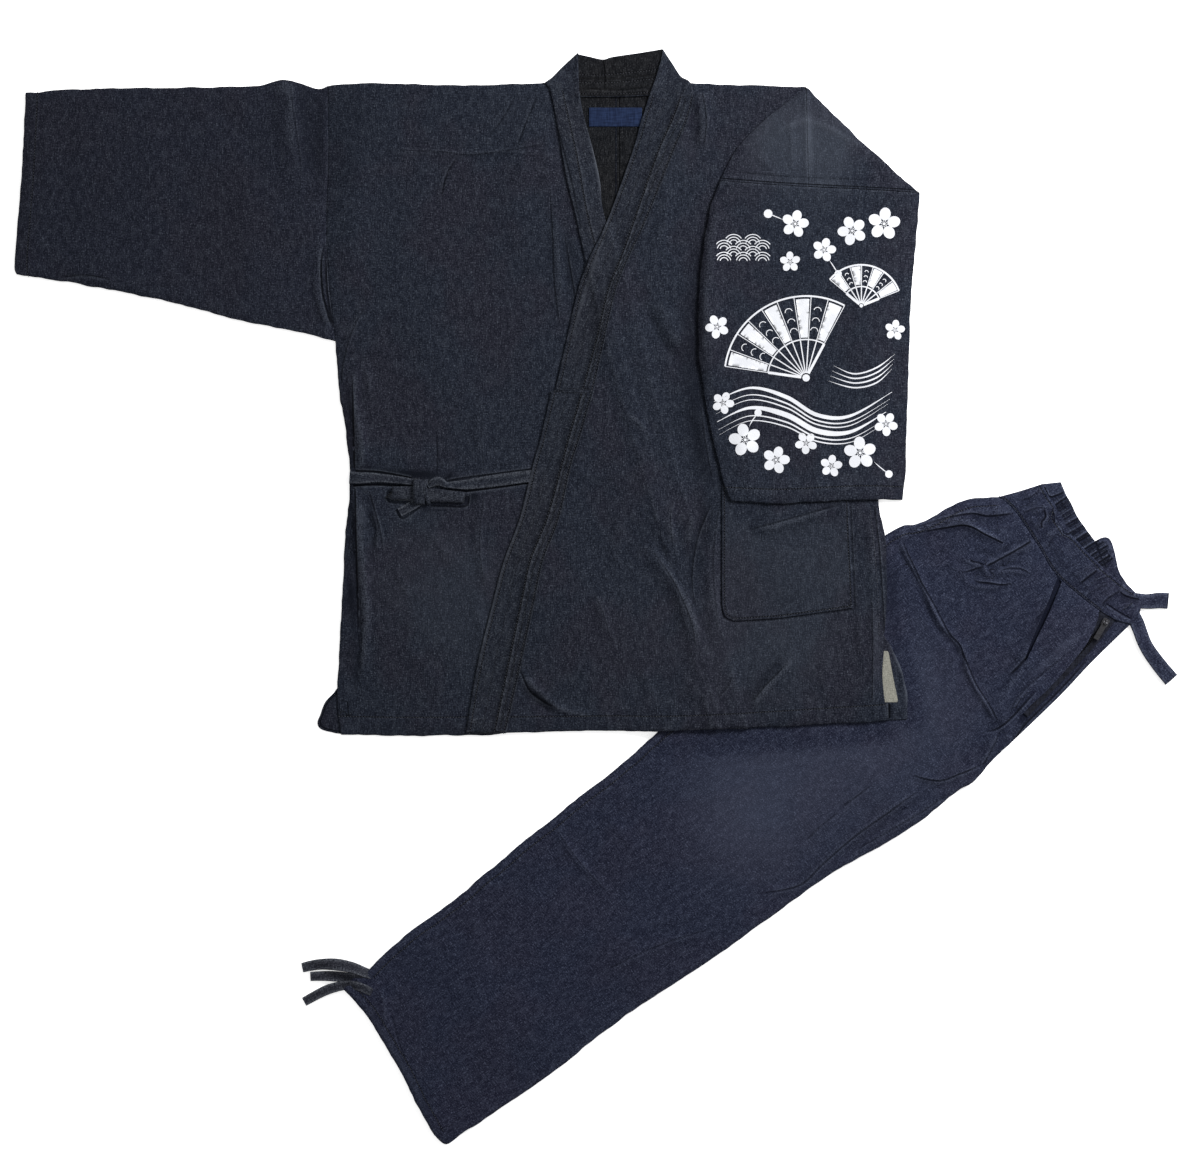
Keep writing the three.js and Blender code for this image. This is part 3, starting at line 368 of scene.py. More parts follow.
def triangulated(ring, spacing):
    """Points and triangles of a flat area: the ring's own points come first."""
    points = np.concatenate([ring, filling(ring, spacing)])
    made, _, faces, origins, _, _ = delaunay_2d_cdt([Vector(p) for p in points], [], [list(range(len(ring)))],
                                                    1, 1e-7, True)
    number = np.array([o[0] if o else -1 for o in origins])
    for new in np.nonzero(number < 0)[0]:
        number[new] = np.argmin(np.sum((points - np.array(made[new])) ** 2, axis=1))
    faces = number[np.array(faces, int)]
    faces = faces[(faces != np.roll(faces, 1, axis=1)).all(axis=1)]
    rim = faces.max(1) < len(ring)
    middles = points[faces[rim]].mean(1)
    crossed = np.zeros(len(middles), int)
    for a, b in zip(ring, np.roll(ring, -1, 0)):
        if a[1] != b[1]:
            between = (a[1] > middles[:, 1]) != (b[1] > middles[:, 1])
            crossed += between & (middles[:, 0] < a[0] + (b[0] - a[0]) * (middles[:, 1] - a[1]) / (b[1] - a[1]))
    kept = np.ones(len(faces), bool)
    kept[rim] = crossed % 2 == 1
    return points, faces[kept].tolist()


def near_line(points, line, reach):
    """Which points are within reach of a line's box, and what towards_line gives for them."""
    near = np.all((points[:, :2] > line.min(0) - reach) & (points[:, :2] < line.max(0) + reach), axis=1)
    chosen = np.nonzero(near)[0]
    return chosen, *towards_line(points[chosen, 0], points[chosen, 1], line)


class Cloth:
    """Collects the vertices of one piece, with the coordinates and values that its material reads."""

    def __init__(self, angle=0.0, lines=(), folds=()):
        self.points, self.flat, self.faces, self.second, self.values = [], [], [], [], {}
        self.angle, self.lines, self.folds, self.count = angle, lines, folds, 0

    def add(self, points, faces, flat=None, **values):
        first = self.count
        self.points.append(points)
        self.flat.append(points[:, :2] if flat is None else flat)
        for name, value in values.items():
            self.values.setdefault(name, []).append((first, np.broadcast_to(value, len(points)).astype(float)))
        self.faces.extend([tuple(first + i for i in f) for f in faces])
        self.count += len(points)
        return first

    def build(self, name, material, second=None, second_above=-1000.0):
        """Makes the piece. The second material is for upper faces whose y is above a limit."""
        points, flat = np.concatenate(self.points), np.concatenate(self.flat)
        mesh = new_mesh(name, points, self.faces)
        c, s = math.cos(self.angle), math.sin(self.angle)
        grain = np.stack([flat[:, 0] * c + flat[:, 1] * s, -flat[:, 0] * s + flat[:, 1] * c], 1) * 0.001
        corner = np.zeros(len(mesh.loops), np.int32)
        mesh.loops.foreach_get("vertex_index", corner)
        mesh.uv_layers.new(name="grain").data.foreach_set("uv", grain[corner].astype(np.float32).ravel())
        values = {key: np.full(len(points), value) for key, value in UNMARKED.items()}
        for key, parts in self.values.items():
            for first, part in parts:
                values[key][first:first + len(part)] = part
        self.mark_seams(points, values)
        self.mark_folds(points, values)
        for key, field in values.items():
            mesh.attributes.new(key, "FLOAT", "POINT").data.foreach_set("value", field.astype(np.float32))
        mesh.validate()
        piece = new_piece(name, mesh, material)
        if second is not None:
            mesh.materials.append(second)
            index = np.zeros(len(mesh.polygons), np.int32)
            for first, last in self.second:
                for k in range(first, last):
                    index[k] = points[self.faces[k][0], 1] > second_above
            mesh.polygons.foreach_set("material_index", index)
        return piece

    def mark_seams(self, points, values):
        """For each place the nearest seam: how far it is, with its side, and how far along the seam."""
        for number, line in enumerate(self.lines):
            chosen, _, signed, along, within = near_line(points, resample(line, 6.0), FAR_SEAM)
            signed = np.where(within, signed, np.where(signed < 0, -FAR_SEAM, FAR_SEAM))
            better = np.abs(signed) < np.abs(values["seam"][chosen])
            chosen = chosen[better]
            values["seam"][chosen] = signed[better]
            values["seam_along"][chosen] = along[better] + NEXT_SEAM * number

    def mark_folds(self, points, values):
        """For each place the nearest sharp fold: how far it is, with its side, and how deep the fold is there."""
        for row in self.folds:
            places, (deepest, *_), ends = (*row, SHORT_ENDS)[:3]
            line = spline(at(places), 4.0)
            chosen, dist, signed, along, within = near_line(points, line, FAR_FOLD)
            depth = fading(along / length_of(line), ends, 1e-3)
            depth = deepest * depth * (2 - depth) * within * np.clip((9.5 - dist) / 3, 0, 1)
            known, known_depth = np.abs(values["fold"][chosen]), values["fold_depth"][chosen]
            better = (dist + 5 * (1 - depth) < known + 5 * (1 - known_depth)) & (depth > 0)
            values["fold"][chosen[better]] = signed[better]
            values["fold_depth"][chosen[better]] = depth[better]


def add_shell(cloth, ring, top, bottom, spacing, wear=None, fold=None, under_spacing=12.0, **values):
    """A sheet between two height fields, closed all round with soft edges. Where fold is given, its edge reaches
    that height, as at a fold. A field is on the grid, in millimetres."""
    inner, middle = (ring + inward(ring) * inset for inset in (0.8, 0.12))
    high, low = sampled(top, ring), sampled(bottom, ring)
    thick = high - low
    waist = (high + low) / 2 if fold is None else np.where(np.isnan(fold), (high + low) / 2, fold)
    top_faces = len(cloth.faces)
    points, faces = triangulated(inner, spacing)
    starts = [cloth.add(np.column_stack([points, sampled(top, points)]), faces,
                        wear=0.0 if wear is None else sampled(wear, points),
                        **{key: sampled(value, points) for key, value in values.items()})]
    cloth.second.append((top_faces, len(cloth.faces)))
    # The edges are made paler: partly rubbed cloth, partly a painted highlight along the rounded edge.
    edge_wear_and_highlight = 0.0 if wear is None else sampled(wear, ring) + 0.25
    for place, z in ((middle, high - 0.16 * thick), (ring, waist), (middle, low + 0.16 * thick)):
        starts.append(cloth.add(np.column_stack([place, z]), [], wear=edge_wear_and_highlight,
                                **{key: sampled(value, ring) for key, value in values.items()}))
    points, faces = triangulated(inner, under_spacing)
    starts.append(cloth.add(np.column_stack([points, sampled(bottom, points)]), [f[::-1] for f in faces], wear=0.0))
    around = np.arange(len(ring))
    for first, second in zip(starts, starts[1:]):
        upper, lower = around + first, around + second
        corners = upper, lower, np.roll(lower, -1), np.roll(upper, -1)
        cloth.faces.extend(zip(*(corner.tolist() for corner in corners)))


sheets = {}


def ridge_wear_and_hollow_shade(sheet):
    """Paler where the sheet stands above its surroundings, as rubbed cloth; darker where it lies below them, as painted
    shade in its hollows.
    """
    top = sheet["top"]
    high = top - blur(top, 7.0)
    fine = top - blur(top, 3.0)
    return np.clip(0.55 * high + 1.1 * fine, -1, 1) * blur(sheet["mask"].astype(float), 3.0)


def support_of(names):
    """The height of what lies there, with a gap over it."""
    total = np.zeros((NY, NX))
    for name in names:
        sheet = sheets[name]
        total = np.maximum(total, np.where(sheet["mask"], sheet["top"] + GAP, 0))
    return total


def lay(name, ring, on=(), wall=WALL, form=None, loft=0.0, slope=0.3, softness=4.0, edge=14.0):
    """Rests a sheet on others, with its creases, and keeps it for the sheets above."""
    mask = mask_of(ring)
    support = support_of(on)
    rest = drape(support, slope, softness)
    fall = np.clip(2 * blur(mask.astype(float), edge) - 1, 0, 1)
    fall = 0.25 + 0.75 * fall
    raised = rest + loft * fall + (0 if form is None else form * fall)
    bottom = np.maximum(raised, support + 0.02)
    sheets[name] = {"ring": ring, "mask": mask, "bottom": bottom, "top": bottom + wall}
    return sheets[name]


def size_of(ring):
    """The smallest box that a cut fits in, its width and length in metres."""
    boxes = []
    for turn in np.radians(np.arange(0, 90, 3)):
        u, v = ring @ [math.cos(turn), math.sin(turn)], ring @ [-math.sin(turn), math.cos(turn)]
        boxes.append(sorted((np.ptp(u) / 1000, np.ptp(v) / 1000)))
    return min(boxes, key=lambda box: box[0] * box[1])


def finish_piece(piece, nodes):
    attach(piece, "garment")
    if nodes:
        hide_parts(*nodes)


def declare_sheet(ring, area):
    """Works out the box of the piece's cut, lengthened to hold its flat area if need be; nothing is kept of it."""
    width, length = size_of(ring)
    needed = area / 1e6
    if needed > width * length:
        length = needed / width * 1.02


def add_sheet(name, ring, material, slot="jacket_denim", spacing=2.6, angle=0.0, lines=(), held="laid",
              values=None, second=None, second_above=-1000.0, **laying):
    sheet = lay(name, ring, **laying)
    cloth = Cloth(angle, lines, FOLDS.get(name, ()))
    values = {"shade": creases(SHADES[name]) if name in SHADES else 0.0, **(values or {})}
    add_shell(cloth, ring, sheet["top"], sheet["bottom"], spacing, ridge_wear_and_hollow_shade(sheet), **values)
    piece = cloth.build("cloth_" + name, material, second, second_above)
    finish_piece(piece, [name])
    declare_sheet(ring, area_of(ring))


# Materials

class Nodes:
    """A short way to write a material's nodes."""

    def __init__(self, name):
        self.material = bpy.data.materials.new(name)
        self.material.use_nodes = True
        self.tree = self.material.node_tree
        self.shader = self.tree.nodes["Principled BSDF"]

    def put(self, socket, value):
        if isinstance(value, bpy.types.NodeSocket):
            self.tree.links.new(value, socket)
        else:
            socket.default_value = value

    def new(self, kind, output, inputs=(), **settings):
        """The output of a new node with these settings, and these inputs, by name or number."""
        node = self.tree.nodes.new("ShaderNode" + kind)
        for name, value in settings.items():
            setattr(node, name, value)
        for key, value in dict(inputs).items():
            self.put(node.inputs[key], value)
        return node.outputs[output]

    def attribute(self, name):
        return self.new("Attribute", "Fac", attribute_name=name)

    def place(self):
        return self.new("TexCoord", "Object")

    def math(self, operation, a, b=0.0):
        return self.new("Math", 0, {0: a, 1: b}, operation=operation)

    def plus(self, a, b):
        return self.math("ADD", a, b)

    def minus(self, a, b):
        return self.math("SUBTRACT", a, b)

    def times(self, a, *others):
        for b in others:
            a = self.math("MULTIPLY", a, b)
        return a

    def grain(self, across, along, turn=0.0):
        """Fabric coordinates, from the cut's own grain, at so many units a metre."""
        source = self.new("UVMap", 0, uv_map="grain")
        return self.new("Mapping", 0, {"Rotation": (0, 0, turn), "Scale": (across, along, 1), "Vector": source})

    def noise(self, vector, detail=2.0, rough=0.5, scale=1.0):
        return self.new("TexNoise", "Fac", {"Scale": scale, "Detail": detail, "Roughness": rough, "Vector": vector})

    def wave(self, vector, scale):
        return self.new("TexWave", "Fac", {"Scale": scale, "Distortion": 0.6, "Vector": vector})

    def combine(self, x, y):
        return self.new("CombineXYZ", 0, {0: x, 1: y})

    def ramp(self, value, low, high, start=0.0, end=1.0):
        return self.new("MapRange", 0, enumerate((value, low, high, start, end)), interpolation_type="SMOOTHSTEP")

    def mix(self, share, a, b):
        a, b = (c if isinstance(c, bpy.types.NodeSocket) else (*c, 1.0) for c in (a, b))
        return self.new("Mix", 2, {0: share, 6: a, 7: b}, data_type="RGBA")

    def bump(self, height, distance, strength):
        self.put(self.shader.inputs["Normal"],
                 self.new("Bump", 0, {"Distance": distance, "Strength": strength, "Height": height}))

    def surface(self, **values):
        for name, value in values.items():
            self.put(self.shader.inputs[name.replace("_", " ")], value)


def tones(*colours):
    """A denim's dark ground, its usual tone, a second one that drifts over it, its pale flecks, and a pale tone for
    rubbed places and for painted light.
    """
    return dict(zip(("dark", "plain", "drift", "fleck", "worn_and_lit"), colours))


JACKET_TONES = tones((0.0047, 0.0058, 0.0097), (0.0144, 0.0178, 0.0274), (0.0162, 0.0164, 0.0250),
                     (0.0558, 0.0648, 0.0819), (0.0504, 0.0576, 0.0738))
SLEEVE_TONES = {**JACKET_TONES, "plain": (0.0150, 0.0168, 0.0268)}
TROUSER_TONES = tones((0.0056, 0.0067, 0.0143), (0.0168, 0.0203, 0.0367), (0.0186, 0.0199, 0.0348),
                      (0.0626, 0.0724, 0.1091), (0.0562, 0.0648, 0.0972))
BAND_TONES = tones((0.0052, 0.0062, 0.0099), (0.0158, 0.0190, 0.0276), (0.0168, 0.0186, 0.0262),
                   (0.0607, 0.0690, 0.0828), (0.0607, 0.0672, 0.0810))
# The inner face, seen inside the neck and in the collar's back: darker and greyer than the outer face.
INNER_TONES = tones((0.0029, 0.0032, 0.0042), (0.0084, 0.0091, 0.0109), (0.0094, 0.0096, 0.0108),
                    (0.0336, 0.0348, 0.0384), (0.0312, 0.0324, 0.0360))
TIE_TONES = tones((0.0072, 0.0085, 0.0123), (0.0223, 0.0252, 0.0351), (0.0247, 0.0256, 0.0333),
                  (0.0817, 0.0893, 0.1092), (0.0950, 0.1026, 0.1197))
PALE_REVERSE = (0.235, 0.232, 0.200)


def dimmed(tone, share):
    """A darker tone."""
    return tuple(share * v for v in tone)


def denim(name, tones, weft=0.42):
    """Denim: its yarns, clouds and twill, then the seams, rubbing, tones with painted light and shade, and painted
    folds that the vertices tell of.
    """
    n = Nodes(name)
    dark, worn_and_lit = tones["dark"], tones["worn_and_lit"]
    warp = n.noise(n.grain(820, 130), 2.0, 0.6)
    cross = n.noise(n.grain(150, 820), 2.0, 0.6)
    speck = n.noise(n.grain(620, 540), 2.0, 0.6)
    cloud = n.noise(n.grain(170, 70), 3.0, 0.62)
    drift = n.noise(n.grain(10.0, 8.0), 3.0, 0.55)
    twill = n.wave(n.grain(150, 150, math.radians(28)), 1.0)
    yarns = n.plus(n.times(warp, 1.0 - weft), n.times(cross, weft))
    texture = n.plus(n.times(yarns, 0.50), n.times(speck, 0.50))
    plain = n.mix(n.ramp(drift, 0.44, 0.60), tones["plain"], tones["drift"])
    colour = n.mix(n.ramp(texture, 0.395, 0.575), dark, plain)
    colour = n.mix(n.ramp(texture, 0.525, 0.665, 0.0, 0.80), colour, tones["fleck"])
    colour = n.mix(n.ramp(cloud, 0.44, 0.72, 0.0, 0.13), colour, tones["fleck"])
    colour = n.mix(n.ramp(cloud, 0.54, 0.28, 0.0, 0.30), colour, dark)

    # Beside a seam the cloth ruckers up, so it is worn there in places
    side = n.attribute("seam")
    seam = n.math("ABSOLUTE", side)
    groove = n.ramp(seam, 1.05, 0.30)
    pucker = n.noise(n.combine(n.times(n.attribute("seam_along"), 0.16), n.times(side, 0.05)))
    ruck = n.times(n.minus(pucker, 0.5), n.ramp(seam, 7.5, 1.0))
    wear = n.plus(n.times(n.attribute("wear"), 0.40), n.times(ruck, 1.7))
    uneven = n.times(wear, n.ramp(texture, 0.36, 0.60, 0.30, 1.40))
    shade = n.attribute("shade")
    # Paler where the cloth is rubbed. Darker where the value is negative: painted shade in the hollows of the cloth,
    # and the unrubbed valleys of the puckers.
    colour = n.mix(n.ramp(uneven, 0.05, 1.0, 0.0, 0.80), colour, worn_and_lit)
    colour = n.mix(n.ramp(wear, -0.05, -0.90, 0.0, 0.80), colour, dimmed(dark, 0.72))
    # The painted tones: paler where negative, as painted light and a few rubbed hems, darker where positive, as painted
    # shade.
    colour = n.mix(n.ramp(shade, 0.0, -1.0), colour, worn_and_lit)
    colour = n.mix(n.ramp(shade, 0.0, 1.0), colour, dimmed(dark, 0.8))

    # A fold is painted: a dark crack of painted shade, a painted shadow on its left and a pale lip of painted highlight
    # on its right
    fold, depth = n.attribute("fold"), n.attribute("fold_depth")
    crack = n.times(n.ramp(n.math("ABSOLUTE", fold), 1.7, 0.35), depth)
    under = n.times(n.ramp(fold, 7.5, 0.4), n.ramp(fold, -0.2, 0.5), depth)
    lip_highlight = n.times(n.ramp(fold, -4.5, -1.4), n.ramp(fold, -0.4, -1.6), depth)
    colour = n.mix(n.times(lip_highlight, n.ramp(texture, 0.36, 0.60, 0.10, 0.55)), colour, worn_and_lit)
    colour = n.mix(n.times(under, 0.42), colour, dimmed(dark, 0.7))
    colour = n.mix(n.times(crack, 0.92), colour, dimmed(dark, 0.3))
    # A dark line along each seam's groove: painted shade.
    colour = n.mix(n.times(groove, 0.80), colour, dimmed(dark, 0.45))
    reverse = n.mix(n.ramp(texture, 0.36, 0.66), dimmed(PALE_REVERSE, 0.62), PALE_REVERSE)
    colour = n.mix(n.ramp(n.attribute("pale"), -0.5, 0.4), colour, reverse)

    relief = n.plus(n.times(texture, 0.85), n.times(twill, 0.08))
    for height, share in ((cloud, 0.35), (ruck, 2.6), (groove, -0.9), (crack, -1.4)):
        relief = n.plus(relief, n.times(height, share))
    n.bump(relief, 0.0010, 0.9)
    n.surface(Base_Color=colour, Roughness=0.95, Sheen_Weight=0.03, Sheen_Roughness=0.4, Specular_IOR_Level=0.03)
    return n.material


def plain_cloth(name, dark, light, yarns=500):
    n = Nodes(name)
    weave = n.times(n.plus(n.noise(n.grain(yarns, yarns / 7)), n.noise(n.grain(yarns / 7, yarns))), 0.5)
    n.surface(Base_Color=n.mix(n.ramp(weave, 0.35, 0.65), dark, light), Roughness=0.85, Sheen_Weight=0.02,
              Specular_IOR_Level=0.08)
    n.bump(weave, 0.0004, 0.8)
    return n.material


def thread_material(name, dark, light):
    n = Nodes(name)
    twist = n.noise(n.place(), 2.0, 0.6, 1400.0)
    n.surface(Base_Color=n.mix(n.ramp(twist, 0.35, 0.65), dark, light), Roughness=0.7, Sheen_Weight=0.1)
    n.bump(twist, 0.0002, 0.8)
    return n.material


def ink_material(name):
    n = Nodes(name)
    weave = n.noise(n.place(), 3.0, 0.6, 620.0)
    patch = n.noise(n.place(), 2.0, 0.5, 60.0)
    whites = n.mix(n.ramp(patch, 0.35, 0.7), (0.50, 0.51, 0.54), (0.56, 0.57, 0.60))
    n.surface(Base_Color=n.mix(n.ramp(weave, 0.34, 0.22, 0.0, 0.55), whites, (0.30, 0.32, 0.37)), Roughness=0.72)
    n.bump(weave, 0.0003, 0.7)
    return n.material


def metal_material(name, tone):
    n = Nodes(name)
    brushed = n.noise(n.place(), 4.0, 0.6, 900.0)
    stain = n.noise(n.place(), 3.0, 0.6, 240.0)
    n.surface(Base_Color=n.mix(n.ramp(stain, 0.4, 0.7, 0.0, 0.5), tone, dimmed(tone, 0.5)),
              Metallic=1.0, Roughness=n.ramp(brushed, 0.3, 0.7, 0.22, 0.42))
    n.bump(brushed, 0.0001, 0.5)
    return n.material


JACKET = denim("jacket_denim", JACKET_TONES)
SLEEVE = denim("sleeve_denim", SLEEVE_TONES)
BAND = denim("band_denim", BAND_TONES)
TROUSER = denim("trouser_denim", TROUSER_TONES, 0.5)
INNER = denim("denim_reverse", INNER_TONES, 0.15)
TIE = denim("tie_denim", TIE_TONES, 0.5)
LABEL = plain_cloth("label_cloth", (0.0040, 0.0080, 0.0240), (0.0110, 0.0200, 0.0520))
# The zip tape: dark navy cloth, darkened further as painted shade where it lies under the fly.
SHADED_ZIP_CLOTH = plain_cloth("zip_cloth", (0.0030, 0.0034, 0.0060), (0.0110, 0.0125, 0.0200))
THREAD = thread_material("dark_thread", (0.005, 0.007, 0.014), (0.017, 0.021, 0.036))
INK = ink_material("white_print")
# The zip's slider, pull and teeth are darker than bright steel: painted shade, for a zip that lies in the shadow of the
# fly.
SHADED_METAL = metal_material("zip_metal", (0.09, 0.09, 0.10))
SHADED_TEETH = metal_material("zip_teeth", (0.022, 0.022, 0.026))


# Edges of the cut pieces as they lie

LEFT_SLEEVE = {
    "fold": curve("25,92 100,88 180,87 250,85.5 287,79.5 316,88 327,85.5"),
    "cuff": curve("25,92 21,175 14.3,258 16,274"),
    "underarm": curve("16,274 80,284 160,299.5 240,320 300,332 335,341"),
    "armhole": curve("327,85.5 328,150 326,220 328,280 335,341"),
}
RIGHT_SLEEVE = {
    "seam": curve("720,181 765,184.5 808,187 870,190 920,193"),
    "inner": curve("720,181 708,217 700,280 698,342 703,389 719,467 731,501"),
    "outer": curve("920,193 917,233 912,296 909,374 906,470 903,500"),
    "cuff": curve("731,501 781,503 859,499.5 903,500"),
}
BODY = {
    "shoulder_left": curve("327,85.5 350,83 400,83 450,84.5 500,83.5 545,82"),
    "shoulder_right": curve("692,82.5 740,84.5 780,86 806,86"),
    "diagonal": curve("806,86 840,120 880,157.5 920,193"),
    "side_left": curve("335,341 338,385 347,441 349,488 344,551 340.5,620 337,688"),
    "flare_left": curve("337,688 325,703 320,714 317,725 326,732 346,735"),
    "slit_left": curve("337,688 338,712 341,735"),
    "side_right": curve("882,345 878,430 879,501 885,536 886.5,590 883.5,635"),
    "front_slit_right": curve("883.5,635 883.5,650 882,675 884.5,703 887,720"),
    "back_slit_right": curve("883.5,635 898,660 906,690 907,719"),
    "hem_left": curve("346,735 401,736 475,735.5 516,733 567,731 616,731"),
    "hem_right": curve("616,731 657,731 718,729 846,723 888,720"),
}
CENTRE_SEAM = 616
OVER_UPPER = [(96, 649, 681, 695), (121, 641, 671, 688), (152, 632, 657.5, 674), (218, 608, 634.5, 648),
              (259, 589, 620, 629), (289, 578, 608, 617), (340, 566.5, 596, 605), (391, 555, 582, 594)]
OVER_LOWER = [(391, 551, 582, 594), (436, 541, 569, 581), (468, 532, 560.5, 571), (517, 520, 547, 560),
              (560, 504, 530, 544), (597, 494, 522, 536), (667, 477, 507.5, 521), (733.5, 466, 494, 506)]
UNDER = [(89, 579, 562, 550), (112, 583, 567, 555), (153, 594, 576, 562), (181, 600, 581, 567),
         (218, 605, 588, 576), (289, 630, 606, 592), (391, 655, 632, 618), (560, 705, 680, 668),
         (728.5, 748, 722, 710)]
FREE, STITCH, SEAM = 1, 2, 3


def columns(sections, column, share=0.0, other=FREE):
    """A collar line, at one of the table's columns or a share of the way to another."""
    return curve(*[(row[column] + share * (row[other] - row[column]), row[0]) for row in sections])


TROUSERS = {
    "side": curve("367,972 402,938 458,897 511,852 581,796 627,760 659,731 770,634 885,536 920,523 964,501 998,497"),
    "band_top": curve("998,497 1020,491 1042,484"),
    "waist_back": straight("1042,484 1061,482 1066,494"),
    "elastic": curve("1066,494 1071,503 1077,515 1086,529 1095,541"),
    "waist_peak": curve("1095,541 1110,539 1121,573 1135,592"),
    "tip": straight("1135,592 1143,601 1140,613 1131,624"),
    "rise": curve("1131,624 1092,662 1060,696 1010,744"),
    "inseam": curve("1010,744 993,760 975,781 958,791 931,813 893,839 832,873 791,902 711,960 624,1017 562,1065 "
                    "527,1091 460,1135"),
    "corner": curve("460,1135 446,1144.5 434,1135"),
    "hem": curve("434,1135 420,1111 394,1060 361,1009 343,989"),
    "hem_tip": straight("343,989 352,979 367,972"),
    "fly": curve("1099,611 1096.5,622 1091.5,634 1084,647 1068,667 1048,689 1030,706 1016,723 1010,744"),
    "band_edge": curve("1042,484 1044,488 1049,497 1054,503.5 1056.5,510 1054.5,517 1058,523 1062,528.5 1065,533.5 "
                       "1069,533.5 1077,541 1086,551 1097,562 1103,568 1122,583.5 1135,592"),
}
WAIST_SEAM = ([1002, 498.5], [1017, 514], [1038, 546], [1058, 577], [1099, 611])
for k, (edges, names) in enumerate(((LEFT_SLEEVE, ("fold", "cuff", "underarm")),
                                    (RIGHT_SLEEVE, ("inner", "outer", "cuff")),
                                    (BODY, ("shoulder_left", "shoulder_right", "diagonal", "side_left", "flare_left",
                                            "side_right", "back_slit_right", "hem_left", "hem_right")),
                                    (TROUSERS, ("side", "elastic", "waist_peak", "inseam", "hem")))):
    for j, name in enumerate(names):
        edges[name] = frayed(edges[name], 100 * k + j)


def moved(line, x=0.0, y=0.0):
    """The line moved by so many millimetres."""
    return line + np.array([x, y])


def ridged(seed, size, sharp=0.22):
    """A net of thin ridges, as in cloth that was crumpled."""
    return np.exp(-(noise(seed, size) / sharp) ** 2) * np.clip(0.5 + 0.5 * noise(seed + 500, size * 3), 0, 1.5)


def crumple(seed, coarse=0.5, fine=0.16, net=0.28):
    """The small unevenness of cloth that was worn and washed."""
    return (coarse * noise(seed, 30) + fine * noise(seed + 1, 9) + net * ridged(seed + 2, 24)
            - 0.6 * net * ridged(seed + 3, 30))


